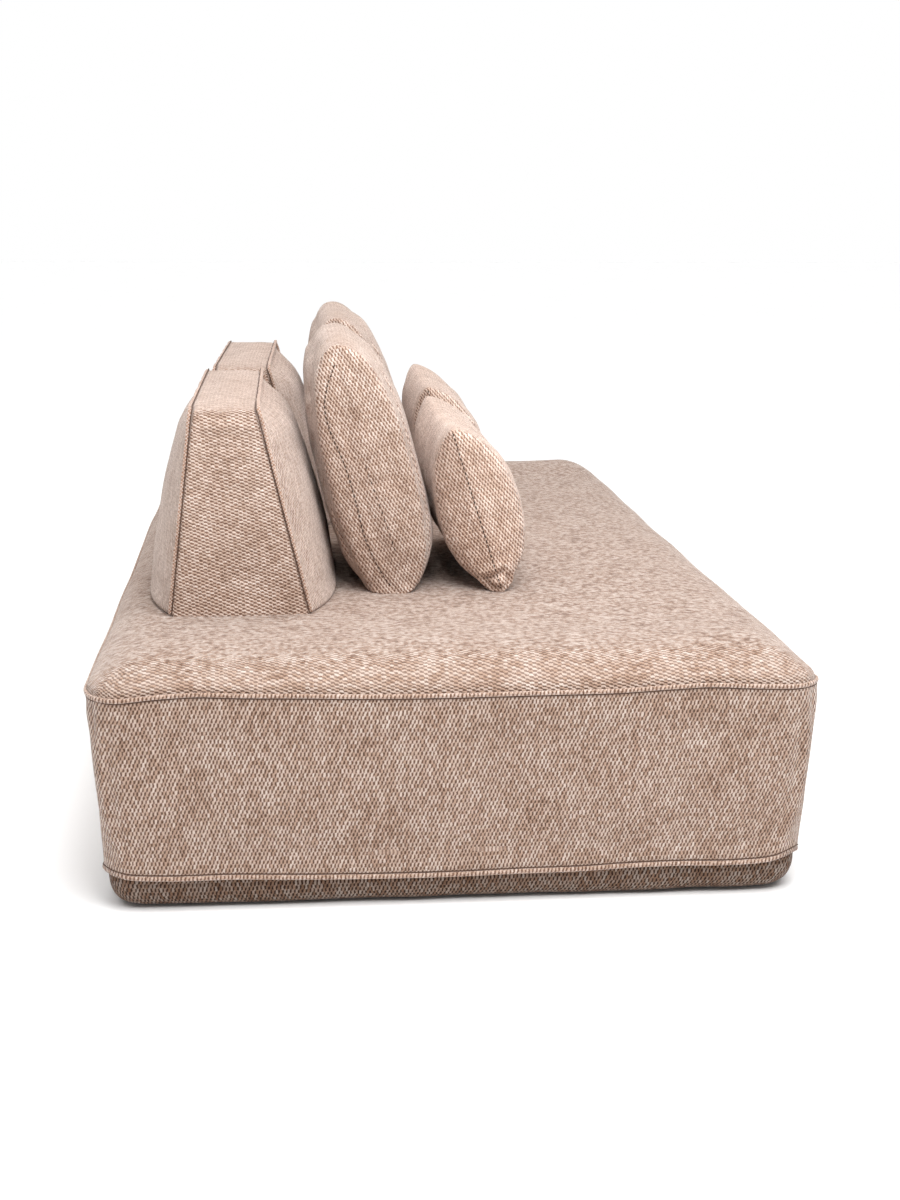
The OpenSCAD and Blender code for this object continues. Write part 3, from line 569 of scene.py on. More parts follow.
def seat_body():
    def crown(t):
        return t * RUN, CROWN * curve(t, CROWN_PAIRS)
    shares, marks = even_places(crown, 0, 1, 0.010)
    border = shares * RUN

    def lines(half, step):
        n = int(round((half - RUN) / step))
        inner = np.linspace(0, half - RUN, n + 1)[::-1]
        inset = np.concatenate([border, half - inner[1:]])
        place = half - inset
        run = np.concatenate([marks[-1] + (half - RUN) - marks, inner[1:]])
        return (np.concatenate([-place, place[:-1][::-1]]), np.concatenate([inset, inset[:-1][::-1]]),
                np.concatenate([-run, run[:-1][::-1]]))
    xs, in_x, run_x = lines(HALF_L, 0.0155)
    ys, in_y, run_y = lines(HALF_D, 0.0155)
    gx, gy = np.meshgrid(xs, ys, indexing="ij")
    inset = np.minimum(in_x[:, None], in_y[None, :])
    px, py = rounded(gx, gy, inset)
    pz = seat_height(px, py, inset)
    over = 0.0046 * bell(pz - EDGE_Z - 0.014, 0.010) * (inset > 1e-6) * (inset < 0.04)
    side = plan_normal(px, py, inset)
    px, py = px + side[..., 0] * over, py + side[..., 1] * over
    form = Form()
    form.grid(np.stack([px, py, pz], -1), run_x[:, None], run_y[None, :], flip=True)

    # The four walls hang from the same border points.
    m, n = len(xs), len(ys)
    ring = ([(i, 0) for i in range(m)] + [(m - 1, j) for j in range(1, n)]
            + [(i, n - 1) for i in range(m - 2, -1, -1)] + [(0, j) for j in range(n - 2, -1, -1)])
    ii, jj = np.array(ring).T

    tall = EDGE_Z - HEM_Z

    def wall(t):
        ins, rise = np.array(WALL_LINE, float).T
        at = np.linspace(0, 1, len(ins))
        return TAPER * curve(t, np.stack([at, ins], -1)), tall * curve(t, np.stack([at, rise], -1))

    def drawn(place, border_in, half, w):
        """Places along one axis at an inset w: the corner's points stay in the corner."""
        r = corner_radius(w)
        in_corner = np.sign(place) * (half - w - border_in * r / CORNER)
        return np.where(border_in < CORNER, in_corner, place * (half - w - r) / (half - CORNER))
    ts, downs = even_places(wall, 0, 1, 0.0135)
    ins, rise = wall(ts)
    rows = []
    for w, s in zip(ins, rise / tall):
        x, y = rounded(drawn(xs[ii], in_x[ii], HALF_L, w), drawn(ys[jj], in_y[jj], HALF_D, w), w)
        z = HEM_Z + tall * s + s * edge_wave(x, y) + (1 - s) * hem_wave(x, y)
        out = plan_normal(x, y, w)
        p = np.stack([x, y, z], -1)
        puff = 0.0022 * ripple(p * (1, 1, 0.45), 31, 0.20) * math.sin(math.pi * min(s * 1.02, 1)) - 0.001
        swell = 0.0042 * math.exp(-(((1 - s) * tall - 0.030) / 0.026) ** 2) - 0.0008
        rows.append(p + out * ((puff + swell) * smoothstep(0, 0.12, s))[:, None])
    rows = np.stack(rows)
    rows[0] = np.stack([px[ii, jj], py[ii, jj], pz[ii, jj]], -1)
    form.grid(rows, lengths(rows[0])[None, :], -downs[:, None])
    obj = form.build("seat_body", closed=False)

    mesh = obj.data
    rest = coords(mesh)
    edge = rows[0]
    d = away_from(rest, [edge])
    low = np.clip((HEM_Z + 0.03 - rest[:, 2]) / 0.03, 0, 1)
    middle = smoothstep(0.02, 0.12, rest[:, 2] - EDGE_Z + 0.02) * (rest[:, 2] > EDGE_Z + 0.03)
    held = np.maximum.reduce([bell(d, 0.012), low, 0.55 * middle])
    inflate(obj, held, None, start=0.003, outer=0.002, inner=0.005, side=0.002, pressure=3.0)
    subdivided(obj)
    p, out = coords(obj.data), normals(obj.data)
    d = away_from(p, [edge])
    p -= out * (0.0022 * bell(d, 0.007))[:, None]
    set_coords(obj.data, p)

    # Under the hem the cover turns in, and the upholstery ends round the timber and on the felt.
    bm = bmesh.new()
    bm.from_mesh(obj.data)
    edges = [e for e in bm.edges if e.is_boundary]
    for inset_to, height in ((0.0187, None), (0.0187, 0.0935), (0.0465, 0.0935), (0.0465, 0.2093)):
        made = bmesh.ops.extrude_edge_only(bm, edges=edges)
        verts = [g for g in made["geom"] if isinstance(g, bmesh.types.BMVert)]
        edges = [g for g in made["geom"] if isinstance(g, bmesh.types.BMEdge) and g.is_boundary]
        x, y = np.array([v.co.x for v in verts]), np.array([v.co.y for v in verts])
        r = float(corner_radius(TAPER))
        cx, cy = HALF_L - TAPER - r, HALF_D - TAPER - r
        out = plan_normal(x, y, TAPER)
        to = np.stack([np.clip(x, -cx, cx), np.clip(y, -cy, cy)], -1) + out[:, :2] * (r + TAPER - inset_to)
        for v, q in zip(verts, to):
            v.co.x, v.co.y = q
            if height is not None:
                v.co.z = height
    made = bmesh.ops.contextual_create(bm, geom=edges)
    bmesh.ops.triangulate(bm, faces=made["faces"])
    bmesh.ops.recalc_face_normals(bm, faces=bm.faces)
    bm.to_mesh(obj.data)
    bm.free()
    obj.data.polygons.foreach_set("use_smooth", [True] * len(obj.data.polygons))
    return obj


def lower_band():
    def profile(thick):
        """Insets and heights of a face of the band, from under the frame up, thick inside the outer face."""
        roll = [(0.047 - (0.025 - thick) * math.cos(a), 0.051 - (0.042 - thick) * math.sin(a))
                for a in np.linspace(math.pi / 2, 0, 9)]
        return [(0.0595, 0.009 + thick)] + roll + [(0.022 + thick, z) for z in (0.064, 0.078, BAND_TOP)]
    loop = profile(0) + profile(0.0028)[::-1] + profile(0)[:1]
    xs, ys = outline(0.0, 0.0125)
    hx, hy = HALF_L - CORNER, HALF_D - CORNER
    out = plan_normal(xs, ys, 0.0)
    rows = []
    for inset, z in loop:
        r = corner_radius(inset)
        x = np.clip(xs, -hx, hx) * (HALF_L - inset - r) / hx + out[:, 0] * r
        y = np.clip(ys, -hy, hy) * (HALF_D - inset - r) / hy + out[:, 1] * r
        drop = (0.0055 - 0.006 * near_corner(x, y, 0.16, 0)) * smoothstep(0.06, 0.02, z)
        p = np.stack([x, y, np.full_like(x, z)], -1)
        drop = drop + 0.0008 * ripple(p, 41, 0.18) * smoothstep(0.06, 0.02, z)
        puff = 0.0012 * ripple(p, 42, 0.12) * smoothstep(0.075, 0.04, z)
        rows.append(np.stack([x, y, z - drop], -1) + out * puff[:, None])
    rows = np.stack(rows)
    rows = np.concatenate([rows, rows[:, :1]], 1)
    run, wide = lengths(rows[5]), lengths(np.array(loop))
    return subdivided(Form().grid(rows, run[None, :], wide[:, None]).build("lower_band"))


def perimeter_ridge(name, inset, z0, wave, section):
    xs, ys = outline(inset, PITCH_U / 2)
    z = z0 + wave(xs, ys)
    out = plan_normal(xs, ys, inset)
    drawn_in = (0.0034 if inset > 0 else 0) * near_corner(xs, ys, 0.09, 0.03)    # the hem only
    path = np.stack([xs, ys, z], -1) - out * drawn_in[:, None]
    up = np.broadcast_to(np.array([0, 0, 1.0]), out.shape)
    return sweep(Form(), path, out, up, section, 0.03, closed=True).build(name)


def thread(form, path, radius, dash=0.0, gap=0.0):
    """Adds a sewn line: one fine tube, or a row of stitches where dash is given."""
    total = lengths(path)[-1]
    spans = [(s, s + dash) for s in np.arange(0, total - dash, dash + gap)] if dash else [(0, total)]
    for a, b in spans:
        n = 6 if dash else max(5, int(total / 0.004))
        p = points_at(path, np.linspace(a, b, n))
        tangent = np.gradient(p, axis=0)
        tangent /= np.linalg.norm(tangent, axis=1, keepdims=True)
        side = np.cross(tangent, np.array([0.31, 0.27, 0.91]))
        side /= np.linalg.norm(side, axis=1, keepdims=True)
        up = np.cross(side, tangent)
        sweep(form, p, side, up, oval(2 * radius, 2 * radius, n=6, power=2))
    return form


# Loose pieces

def at_block(side, p, shift=(0, 0, 0)):
    """Points of a backrest's own frame, in the scene's frame."""
    p = p + np.array(shift)
    if side == "left":
        return p + (-0.385, 0.223, REST_Z)
    a = math.radians(-1)
    turned = np.stack([p[..., 0] * math.cos(a) - p[..., 1] * math.sin(a),
                       p[..., 0] * math.sin(a) + p[..., 1] * math.cos(a), p[..., 2]], -1)
    return turned + (0.360, 0.205, REST_Z)


FRONT_SWELL = [(0, 0.8), (0.1, 0.92), (0.28, 0.98), (0.5, 1), (0.72, 0.93), (0.9, 0.65), (1, 0)]
REAR_SWELL = [(0, 0.85), (0.1, 0.97), (0.28, 1), (0.5, 0.9), (0.72, 0.76), (0.9, 0.48), (1, 0)]
SIDE_SWELL = [(0, 0.5), (0.1, 0.8), (0.28, 1), (0.5, 1), (0.72, 0.8), (0.9, 0.35), (1, 0)]


def block_face(kind, u, v, t):
    """Point of a backrest: shares of length, height and depth."""
    front, rear = FRONT_SLOPE * v, BLOCK_DEEP - REAR_SLOPE * v
    along = 1 - np.abs(u) ** 3.5
    dome = 4 * t * (1 - t)
    x, y, z = BLOCK_HALF * u, front + (rear - front) * t, BLOCK_HIGH * v
    if kind == "front":
        y = y - BLOCK_FRONT * along * curve(v, FRONT_SWELL)
    elif kind == "rear":
        y = y + BLOCK_REAR * along * curve(v, REAR_SWELL)
    elif kind == "top":
        z = z + 0.013 * along * dome
    elif kind == "end":
        x = x + np.sign(u) * 0.007 * curve(v, SIDE_SWELL) * dome
    elif kind == "foot":
        y = y + along * (0.85 * BLOCK_REAR * t - 0.8 * BLOCK_FRONT * (1 - t))
        z = z + 0.0008 * np.minimum(dome * 6, 1) * np.minimum((1 - np.abs(u)) * 20, 1)
    return np.stack(np.broadcast_arrays(x, y, z), -1)


def corners_in(p):
    """Draws a backrest's upper corners in by a few millimetres."""
    reach, by = 0.018, 0.0062
    near_end = np.clip(reach - np.maximum(BLOCK_HALF - np.abs(p[:, 0]), 0), 0, 1)
    near_top = np.clip(reach - np.maximum(BLOCK_HIGH - p[:, 2], 0), 0, 1)
    share = near_end * near_top / reach ** 2
    p = p.copy()
    p[:, 0] -= np.sign(p[:, 0]) * by * share
    p[:, 2] -= by * share
    return p


def rumple(obj, soft, seed, coarse, fine, shape=None):
    """Sinks soft hollows of two sizes into the cloth, stands it on the seat and refines it."""
    mesh = obj.data
    p, out = coords(mesh), normals(mesh)
    if shape:
        p = shape(p)
    sunk = 0
    for k, (depth, size) in enumerate((coarse, fine)):
        sunk = sunk + depth * soft * (0.5 + 0.5 * ripple(p, seed + k, size))
    p -= out * sunk[:, None]
    p[:, 2] = np.maximum(p[:, 2], 0)
    set_coords(mesh, p)
    subdivided(obj)
    return coords(obj.data), normals(obj.data)


def block(side, seed):
    us = np.linspace(-1, 1, 75)
    us = 0.72 * us + 0.28 * np.sin(us * math.pi / 2)
    vs = np.linspace(0, 1, 39)
    ts = np.linspace(0, 1, 21)
    u, v = np.meshgrid(us, vs, indexing="ij")
    form = Form()
    front = block_face("front", u, v, 0.0)
    rear = block_face("rear", u, v, 1.0)
    length, height, rise = us[:, None] * BLOCK_HALF, vs[None, :] * 0.37, 0.36
    slope = FRONT_SLOPE + REAR_SLOPE
    form.grid(front, length, height)
    form.grid(rear, length, height)
    t, v = np.meshgrid(ts, vs, indexing="ij")
    for s in (-1.0, 1.0):
        form.grid(block_face("end", np.full_like(t, s), v, t),
                  vs[None, :] * rise, (ts[:, None] - 0.5) * (BLOCK_DEEP - slope * v))
    u, t = np.meshgrid(us, ts, indexing="ij")
    form.grid(block_face("top", u, np.ones_like(u), t), length + BLOCK_HALF + rise,
              (ts[None, :] - 0.5) * (BLOCK_DEEP - slope))
    form.grid(block_face("foot", u, np.zeros_like(u), t), length, ts[None, :] * BLOCK_DEEP)
    obj = form.build(side + "_block_body", merge=5e-5)

    def edge(kind, t):
        up = np.linspace(0, 1, 60)[:, None]
        along = np.linspace(-1, 1, 140)[:, None]
        parts = [block_face(kind, -np.ones_like(up), up, t), block_face(kind, along, np.ones_like(along), t),
                 block_face(kind, np.ones_like(up), up[::-1], t)]
        line = np.concatenate([p[:, 0] for p in parts])
        keep = np.concatenate([[True], np.linalg.norm(np.diff(line, axis=0), axis=1) > 1e-6])
        return line[keep]
    seams = [edge("front", 0.0), edge("rear", 1.0)]

    rest = coords(obj.data)
    d = away_from(rest, seams)
    corner = smoothstep(0.03, 0, BLOCK_HALF - np.abs(rest[:, 0])) * smoothstep(0.03, 0, BLOCK_HIGH - rest[:, 2])
    foot = smoothstep(0.03, 0.004, rest[:, 2])
    held = np.maximum(bell(d, 0.011) * (1 - 0.3 * corner), foot)
    gather = bell(d, 0.02) * (1 - foot)
    inflate(obj, held, gather, start=0.004, outer=0.0015, inner=0.006, side=0.004, pressure=6.0)
    soft = smoothstep(0.0, 0.09, d) * (1 - foot)
    p, out = rumple(obj, soft, seed, (0.0028, 0.16), (0.0012, 0.06), corners_in)
    d = away_from(p, seams)
    p -= out * (0.0012 * bell(d, 0.005) * (p[:, 2] > 0.002))[:, None]
    set_coords(obj.data, at_block(side, p))

    welts, threads = Form(), Form()
    for line, facing in zip(seams, (-1.0, 1.0)):
        total = lengths(line)[-1]
        s = np.linspace(0, total, 2 * int(total / PITCH_U))
        path = corners_in(points_at(line, s))
        to_foot = np.minimum(s, total - s)
        over_top = smoothstep(BLOCK_HIGH - 0.02, BLOCK_HIGH + 0.02, to_foot)
        outward = np.zeros_like(path)
        outward[:, 0] = np.where(s < total / 2, -1, 1) * (1 - over_top)
        outward[:, 2] = over_top
        outward /= np.linalg.norm(outward, axis=1, keepdims=True)
        face = np.zeros_like(path)
        face[:, 1] = facing
        wob = ripple(path, seed + 5 + int(facing), 0.07)
        lift = -0.0028 + 0.0004 * wob + (0.0022 if facing < 0 else -0.0006) * over_top
        centre = path + outward * lift[:, None] + face * (0.0028 + 0.0006 * np.roll(wob, 40))[:, None]
        centre[:, 2] = np.maximum(centre[:, 2], 0.0036)
        sweep(welts, at_block(side, centre), outward, face, oval(0.0056, 0.0066), 0.0, ribbed=False)
        # A continuous dark thread along each welt's crease: real stitching that also paints the crease's shade.
        line_at = path + outward * 0.0002 - face * 0.0006
        line_at[:, 2] = np.maximum(line_at[:, 2], 0.002)
        thread(threads, at_block(side, line_at), 0.0009)
    ridge = welts.build(side + "_block_welts")
    sewn = threads.build(side + "_block_stitching_and_painted_shade")
    body = side + "_backrest"
    nodes = [side + "_block_" + k for k in ("front", "rear", "boxing", "foam")]
    return obj, ridge, sewn, body, nodes


def leaning(s, n, h, lean):
    """Points at s along, n to the rear and h up a lean in degrees, none below the foot."""
    a = math.radians(lean)
    return np.stack(np.broadcast_arrays(s, n * math.cos(a) + h * math.sin(a),
                                        np.maximum(h * math.cos(a) - n * math.sin(a), 0)), -1)


def cushion_rise(u, up):
    """Height up the lean: the end faces close to a shorter seam than the cushion is high."""
    close = 1 - np.maximum(1 - np.abs(u) ** CUSHION_END, 0) ** (1 / CUSHION_END)
    above, below = (CUSHION_RISE - 0.012 * u ** 4) * (1 - 0.12 * close), CUSHION_RISE - 0.004 * u ** 4
    return CUSHION_MIDDLE + np.where(up > 0, above, below) * up


def cushion_section(a):
    """Shares of thickness and height at an angle from the foot by the rear: fuller below than above."""
    power = np.where(np.cos(a) > 0, 3.2, 2.1)
    return signed_power(np.sin(a), 2 / power), -signed_power(np.cos(a), 2 / power)


def flat_ends(mesh, limit, lean):
    """Lays the weave flat over the end faces, up the lean, so that its cells keep their size there."""
    chosen = np.abs(triples(mesh.polygons, "normal")[:, 0]) > limit
    total = np.empty(len(mesh.polygons), np.int32)
    mesh.polygons.foreach_get("loop_total", total)
    corner = np.empty(len(mesh.loops), np.int32)
    mesh.loops.foreach_get("vertex_index", corner)
    uv = np.empty(len(mesh.loops) * 2, np.float32)
    layer = mesh.uv_layers["weave"]
    layer.data.foreach_get("uv", uv)
    uv = uv.reshape(-1, 2)
    inside = np.repeat(chosen, total)
    p = coords(mesh)[corner[inside]]
    a = math.radians(lean)
    uv[inside, 0] = p[:, 1] * math.cos(a) - p[:, 2] * math.sin(a)
    uv[inside, 1] = p[:, 1] * math.sin(a) + p[:, 2] * math.cos(a)
    layer.data.foreach_set("uv", uv.ravel())


def on_surface(surface, lines, low=0.012, smooth=4):
    """Lays lines on a swollen surface above a height, smoothed over neighbours."""
    tree = kdtree.KDTree(len(surface))
    for i, q in enumerate(surface):
        tree.insert(q, i)
    tree.balance()
    paths = []
    for line in lines:
        path = np.array([surface[tree.find(q)[1]] for q in line])
        if smooth:
            even = np.ones(2 * smooth + 1) / (2 * smooth + 1)
            padded = np.pad(path, ((smooth, smooth), (0, 0)), mode="edge")
            path = np.stack([np.convolve(padded[:, k], even, "valid") for k in range(3)], -1)
        paths.append(path[path[:, 2] >= low])
    return paths


def finished(obj, side, kind, p, steep, lean, place, off, seams):
    """Lays the weave on the end faces, moves the piece to its place and sews its stitches."""
    p[:, 2] = np.maximum(p[:, 2], 0)
    set_coords(obj.data, p)
    flat_ends(obj.data, steep, lean)
    set_coords(obj.data, at_block(side, p, place))
    threads = Form()
    for lines, radius, gap in seams:
        for path in on_surface(p, lines):
            path[:, 0] += np.sign(path[:, 0]) * off
            thread(threads, at_block(side, path, place), radius, DASH, gap)
    return threads.build(side + "_" + kind + "_stitching")


def cushion(side, seed):
    end = CUSHION_END
    length, front, rear = 0.546, 0.098, 0.088
    thick_mean, draw = 0.093, 0.012

    def end_curve(t):
        w = math.pi / 2 * t ** 4.5 / (t ** 4.5 + (1 - t) ** 4.5)
        return length / 2 * signed_power(np.sin(w), 2 / end), thick_mean * np.abs(np.cos(w)) ** (2 / end)
    ts, marks = even_places(end_curve, 0, 1, CELL)
    us = end_curve(ts)[0] / (length / 2)
    us = np.concatenate([-us[::-1], us[1:]])
    run_u = np.concatenate([-marks[::-1], marks[1:]])
    us[0], us[-1] = -1, 1

    def section(a):
        out, up = cushion_section(a)
        return thick_mean * out, CUSHION_RISE * up
    half_turn, marks = even_places(section, 1e-6, math.pi - 1e-6, CELL)
    angles = np.concatenate([half_turn, 2 * math.pi - half_turn[::-1][1:]])
    run_a = np.concatenate([marks, 2 * marks[-1] - marks[::-1][1:]])
    u, a = np.meshgrid(us, angles, indexing="ij")
    thick = np.where(a < math.pi, rear, front) - 0.005 * u * u
    t = thick * np.maximum(1 - np.abs(u) ** end, 0) ** (1 / end)
    out, up = cushion_section(a)
    s = u * (length / 2 - draw * np.abs(up) ** 4)
    p = leaning(s, t * out, cushion_rise(u, up), CUSHION_LEAN)
    obj = Form().grid(p, run_u[:, None], run_a[None, :]).build(side + "_cushion_body", merge=1e-4)
    rest = coords(obj.data)
    ends, second = [], []
    for e in (-1.0, 1.0):
        x = np.linspace(-0.97, 0.99, 90)
        place = e * (length / 2 - draw * np.abs(x) ** 4)
        to_rear = curve(x, [(-1, 0.0), (-0.75, 0.024), (0.0, 0.033), (0.7, 0.040), (1, 0.0)])
        ends.append(leaning(place, to_rear, cushion_rise(np.ones_like(x), x), CUSHION_LEAN))
        x = np.linspace(-0.68, 0.08, 30)
        to_rear = curve(x, [(-0.68, -0.014), (0.08, 0.001)])
        second.append(leaning(e * length / 2, to_rear, cushion_rise(np.ones_like(x), x), CUSHION_LEAN))
    x = np.linspace(-1, 1, 120)
    top = leaning(x * (length / 2 - draw), 0.0, cushion_rise(x, np.ones_like(x)), CUSHION_LEAN)
    d = away_from(rest, ends)
    d_top = away_from(rest, [top])
    foot = smoothstep(0.012, 0.002, rest[:, 2])
    held = np.maximum(0.75 * bell(d, 0.010), foot)
    gather = np.maximum(bell(d, 0.018), 0.6 * bell(d_top, 0.012)) * (1 - foot)
    inflate(obj, held, gather, start=0.004, outer=0.002, inner=0.005, side=0.004, pressure=6.0, bending=1.2)
    soft = smoothstep(0.0, 0.05, d) * (1 - foot)
    p, out = rumple(obj, soft, seed, (0.0026, 0.15), (0.0016, 0.055))
    d = away_from(p, ends)
    p -= out * (0.0026 * bell(d, 0.006) * (p[:, 2] > 0.002))[:, None]
    sewn = finished(obj, side, "cushion", p, 0.38, CUSHION_LEAN, CUSHION_PLACE, 0.0012,
                    ((ends, 0.0011, DASH_GAP), (second, 0.0008, 0.008)))
    return obj, sewn, side + "_back_cushion", [side + "_cushion_cover", side + "_cushion_fill"]


def pillow(side, seed):
    length, high, front, rear = 0.586, 0.327, 0.090, 0.073
    thick_mean, puffed, middle = 0.082, 0.665, high / 2 - 0.007
    end_draw, long_draw = 0.016, 0.017    # how far the edges' middles are drawn in
    end_round, foot_round, top_round = 13, 2.65, 2.0

    def spaced(half, power):
        """Even steps over the swell, from the middle to an end."""
        return even_places(lambda w: (half * w, thick_mean * (1 - w ** power) ** puffed), 0, 1, CELL)[0]
    us, foot, top = spaced(length / 2, end_round), spaced(high / 2, foot_round), spaced(high / 2, top_round)
    us, vs = np.concatenate([-us[::-1], us[1:]]), np.concatenate([-foot[::-1], top[1:]])
    u, v = np.meshgrid(us, vs, indexing="ij")
    across = np.maximum(1 - np.abs(v) ** np.where(v < 0, foot_round, top_round), 0)
    puff = (np.maximum(1 - np.abs(u) ** end_round, 0) * across) ** puffed
    tuck = 0.009 * np.abs(u * v) ** 9
    s = u * (length / 2 - end_draw * (1 - v * v) - tuck)
    h = middle + v * (high / 2 - long_draw * (1 - u * u) - tuck)
    form = Form()
    for thick in (-front - 0.002 * u ** 4, rear + 0.005 * u ** 4):
        p = leaning(s, thick * puff, h, PILLOW_LEAN)
        step_u = np.linalg.norm(np.diff(p, axis=0), axis=2)
        step_v = np.linalg.norm(np.diff(p, axis=1), axis=2)
        run_u = np.concatenate([np.zeros((1, len(vs))), np.cumsum(step_u, 0)])
        run_v = np.concatenate([np.zeros((len(us), 1)), np.cumsum(step_v, 1)], 1)
        run_u -= run_u[len(us) // 2]
        run_v -= run_v[:, len(foot) - 1][:, None]
        run_u = 0.5 * run_u + 0.5 * run_u[:, len(foot) - 1][:, None]
        form.grid(p, run_u, run_v)
    obj = form.build(side + "_pillow_body", merge=5e-5)
    rest = coords(obj.data)
    w = np.linspace(-1, 1, 120)
    lines = []
    for e in (-1.0, 1.0):
        to_end, up = e * (length / 2 - end_draw * (1 - w * w)), e * (high / 2 - long_draw * (1 - w * w))
        lines.append(leaning(to_end, 0.0, middle + w * high / 2, PILLOW_LEAN))
        lines.append(leaning(w * length / 2, 0.0, middle + up, PILLOW_LEAN))
    d = away_from(rest, lines)
    foot = smoothstep(0.012, 0.002, rest[:, 2])
    held = np.maximum(0.85 * bell(d, 0.008), foot)
    gather = 0.6 * bell(d, 0.022) * (1 - foot)
    inflate(obj, held, gather, start=0.002, outer=0.004, inner=0.001, side=0.004, pressure=7.0, bending=1.0)
    soft = smoothstep(0.0, 0.05, d) * (1 - foot)
    p, out = rumple(obj, soft, seed, (0.0026, 0.12), (0.0016, 0.05))
    creases = []
    for e in (-1.0, 1.0):
        for marks in (((0.036, 0.031), (0.018, 0.034), (0.002, 0.037), (-0.016, 0.036)),
                      ((0.030, 0.020), (0.014, 0.014), (-0.004, 0.006)),
                      ((-0.014, 0.004), (-0.022, 0.013), (-0.025, 0.024))):
            n, up = np.array(marks).T
            creases.append(leaning(e * (length / 2 - 0.010), n, up, PILLOW_LEAN))
    d = away_from(p, on_surface(p, creases, 0.0, 0))
    p -= out * (0.0095 * bell(d, 0.005) - 0.0026 * bell(d - 0.012, 0.005))[:, None]
    sewn = finished(obj, side, "pillow", p, 0.36, PILLOW_LEAN, PILLOW_PLACE, 0.0011,
                    ((lines[::2], 0.0012, DASH_GAP),))
    return obj, sewn, side + "_pillow", [side + "_pillow_" + k for k in ("front", "rear", "fill")]


# Assembly

photo_camera()
# Painted light: the base cloth gets flecks and lighter gaps on its faces that look up.
cloth = weave("woven_cloth_painted_top_light", tone=0.935, contrast=0.92, painted_top_light=2.2)
# Painted light: the loose pieces' and their welts' copies of the cloth are lighter and greyer than the base's,
# standing in for stronger, whiter light on them.
loose_cloth_painted_light = weave("woven_loose_cloth_painted_light", tone=1.055, contrast=0.7, gaps=1.25, pale=0.17)
trim_cloth_painted_light = weave("woven_trim_cloth_painted_light", tone=1.03, contrast=0.35, gaps=1.6, pale=0.17)
# Painted light: the pillows' copy of the cloth is lighter still, standing in for the light on their ends.
pillow_cloth_painted_light = weave("woven_pillow_cloth_painted_light", tone=1.14, contrast=0.7, gaps=1.25, pale=0.17)
# Painted shade: the band's darker, more saturated tone and darker gaps stand in for the shadow under the hem.
band_cloth_painted_shade = weave("woven_band_cloth_painted_shade", tone=0.66, contrast=1.5, sheen=0.08, gaps=0.7, pale=-0.3)
seam_cloth = weave("woven_seam_cloth", tone=0.97, contrast=0.7, gaps=1.1)
stitch = spun("stitching_thread", (40, 27, 21), (64, 45, 36), 400, rough=0.85, bump=0.0002)
# Painted shade: this thread's dark colour also stands in for the shade in the creases of the base's and
# backrests' seams.
thread_and_seam_shade = spun("fine_thread_and_painted_seam_shade", (64, 44, 35), (94, 68, 54), 400, rough=0.85, bump=0.0002)

seat = seat_body()
dress(seat, cloth)
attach(seat, "base")
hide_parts("top_cover", "front_cover", "rear_cover", "left_end_cover", "right_end_cover", "foam_topper",
            "foam_core", "front_pad", "rear_pad", "left_end_pad", "right_end_pad")

band = lower_band()
dress(band, band_cloth_painted_shade)
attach(band, "base")
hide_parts("front_band", "rear_band", "left_end_band", "right_end_band")

edge_ridge = perimeter_ridge("edge_ridge", 0.0, EDGE_Z, edge_wave, oval(0.0056, 0.0072, (0.0002, 0.0004)))
hem_ridge = perimeter_ridge("hem_ridge", TAPER, HEM_Z + 0.0045, hem_wave, oval(0.0062, 0.0082, (0.0004, 0)))
for obj, node in ((edge_ridge, "edge_seam"), (hem_ridge, "hem_seam")):
    dress(obj, seam_cloth)
    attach(obj, "base")
    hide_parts(node)

# Continuous dark threads under the edge seam and over the hem: real sewn lines that also paint the shade in the
# seams' creases.
threads = Form()
for inset, z0, wave in ((0.0, EDGE_Z - 0.0042, edge_wave), (TAPER, HEM_Z + 0.0096, hem_wave)):
    xs, ys = outline(inset, 0.006)
    out = plan_normal(xs, ys, inset)
    path = np.stack([xs, ys, z0 + wave(xs, ys)], -1) + out * 0.0006
    thread(threads, np.concatenate([path, path[:1]]), 0.0010)
base_stitching_and_painted_shade = dress(threads.build("base_stitching_and_painted_shade"), thread_and_seam_shade)
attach(base_stitching_and_painted_shade, "base")

for side, seed in (("left", 100), ("right", 200)):
    body, ridge, sewn, rides, nodes = block(side, seed)
    dress(body, loose_cloth_painted_light)
    dress(ridge, trim_cloth_painted_light)
    dress(sewn, thread_and_seam_shade)
    for o in (body, ridge, sewn):
        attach(o, rides)
    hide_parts(*nodes)
    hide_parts(side + "_block_seams")
    for make, cover, fill, shift in ((cushion, loose_cloth_painted_light, 0.8, 20), (pillow, pillow_cloth_painted_light, 0.7, 40)):
        body, sewn, rides, nodes = make(side, seed + shift)
        dress(body, cover)
        dress(sewn, stitch)
        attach(body, rides)
        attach(sewn, rides)
        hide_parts(*nodes)

# Materials of the hidden construction.
timber = spun("pine_timber", (176, 134, 88), (214, 178, 128), 9, (1, 6, 6), 0.65, bump=0.0003)
plywood = spun("plywood_board", (170, 132, 92), (206, 172, 130), 12, (1, 5, 20), 0.7)
steel = spun("steel_sheet", (120, 124, 128), (164, 168, 172), 40, (1, 1, 1), 0.38, 1.0, 0.0001)
felt = spun("pressed_felt", (112, 108, 102), (150, 146, 138), 160, rough=0.95, bump=0.0006)
strap = spun("webbing_strap", (66, 56, 48), (104, 92, 80), 420, (1, 1, 1), 0.85, bump=0.0004)
lining = spun("lining_cloth", (30, 30, 30), (52, 51, 50), 700, rough=0.95, bump=0.0003)
tape = spun("hook_and_loop", (28, 28, 28), (58, 57, 56), 900, rough=0.95, bump=0.0008)
nylon = spun("nylon_glide", (48, 46, 44), (68, 66, 62), 90, rough=0.45, bump=0.0001)
grip = spun("non_slip_cloth", (34, 34, 35), (62, 62, 62), 300, rough=0.8, bump=0.0005)
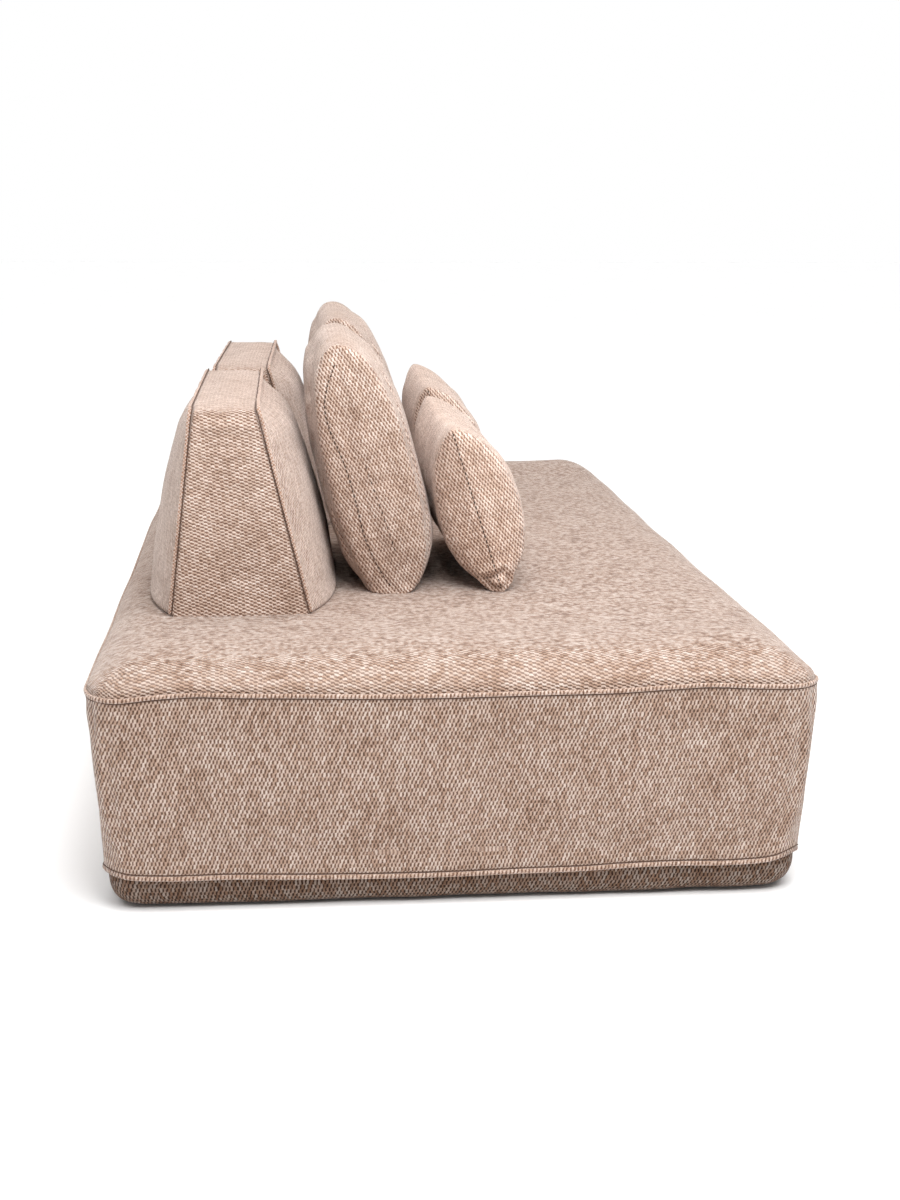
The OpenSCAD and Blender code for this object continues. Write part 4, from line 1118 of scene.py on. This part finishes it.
carried = {
    timber: ["front_rail", "rear_rail", "left_end_rail", "right_end_rail", "cross_rails", "corner_blocks"],
    plywood: ["left_block_board", "right_block_board"],
    steel: ["frame_screws", "glide_screws", "left_block_weight", "right_block_weight", "left_block_screws",
            "right_block_screws"],
    felt: ["insulator_pad"],
    strap: ["cross_webbing", "long_webbing"],
    lining: ["dust_cover"],
    tape: ["loop_tape", "hook_tape"],
    nylon: ["glides"],
    grip: ["left_block_grip", "right_block_grip"],
}
for material, names in carried.items():
    for name in names:
        dress(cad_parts[name], material)


# Floor and light

def studio():
    floor = Tree("studio_floor")
    fac, _ = floor.noise(floor.place(), 3, 3)
    floor.put(floor.shader.inputs["Base Color"], floor.ramp(fac, [(0.3, [252] * 3), (0.7, [254] * 3)]))
    floor.put(floor.shader.inputs["Roughness"], floor.mapped(fac, 0, 1, 0.8, 0.9))
    plane = bpy.data.meshes.new("studio_floor")
    r = 30
    plane.from_pydata([(-r, -r, 0), (r, -r, 0), (r, r, 0), (-r, r, 0)], [], [(0, 1, 2, 3)])
    obj = bpy.data.objects.new("studio_floor", plane)
    scene.collection.objects.link(obj)
    dress(obj, floor.mat)
    world = bpy.data.worlds.new("studio_world")
    world.use_nodes = True
    sky = world.node_tree
    sky.nodes["Background"].inputs["Color"].default_value = (1, 1, 1, 1)
    # Bright at the horizon, dim above it and brightest overhead.
    way, apart = sky.nodes.new("ShaderNodeTexCoord"), sky.nodes.new("ShaderNodeSeparateXYZ")
    sky.links.new(way.outputs["Generated"], apart.inputs[0])
    total = sky.nodes.new("ShaderNodeMath")
    for k, span in enumerate(((0.12, 0.20, 1.0, 0.30), (0.62, 0.77, 0.0, 1.42))):
        level = sky.nodes.new("ShaderNodeMapRange")
        sky.links.new(apart.outputs[2], level.inputs[0])
        for i, value in enumerate(span):
            level.inputs[i + 1].default_value = value
        sky.links.new(level.outputs[0], total.inputs[k])
    sky.links.new(total.outputs[0], sky.nodes["Background"].inputs["Strength"])
    scene.world = world
    for name, place, aim_x, size, power in (("softbox_above", (0.3, -0.2, 3.4), 0.0, 3.0, 34),
                                            ("softbox_near", (-1.9, -0.35, 2.3), -0.6, 1.6, 52)):
        light = bpy.data.lights.new(name, "AREA")
        light.shape, light.size, light.energy = "SQUARE", size, power
        lamp = bpy.data.objects.new(name, light)
        scene.collection.objects.link(lamp)
        lamp.location = place
        aim = np.array((aim_x, 0.0, 0.45)) - place
        lamp.rotation_euler = Vector(aim).to_track_quat("-Z", "Y").to_euler()


studio()
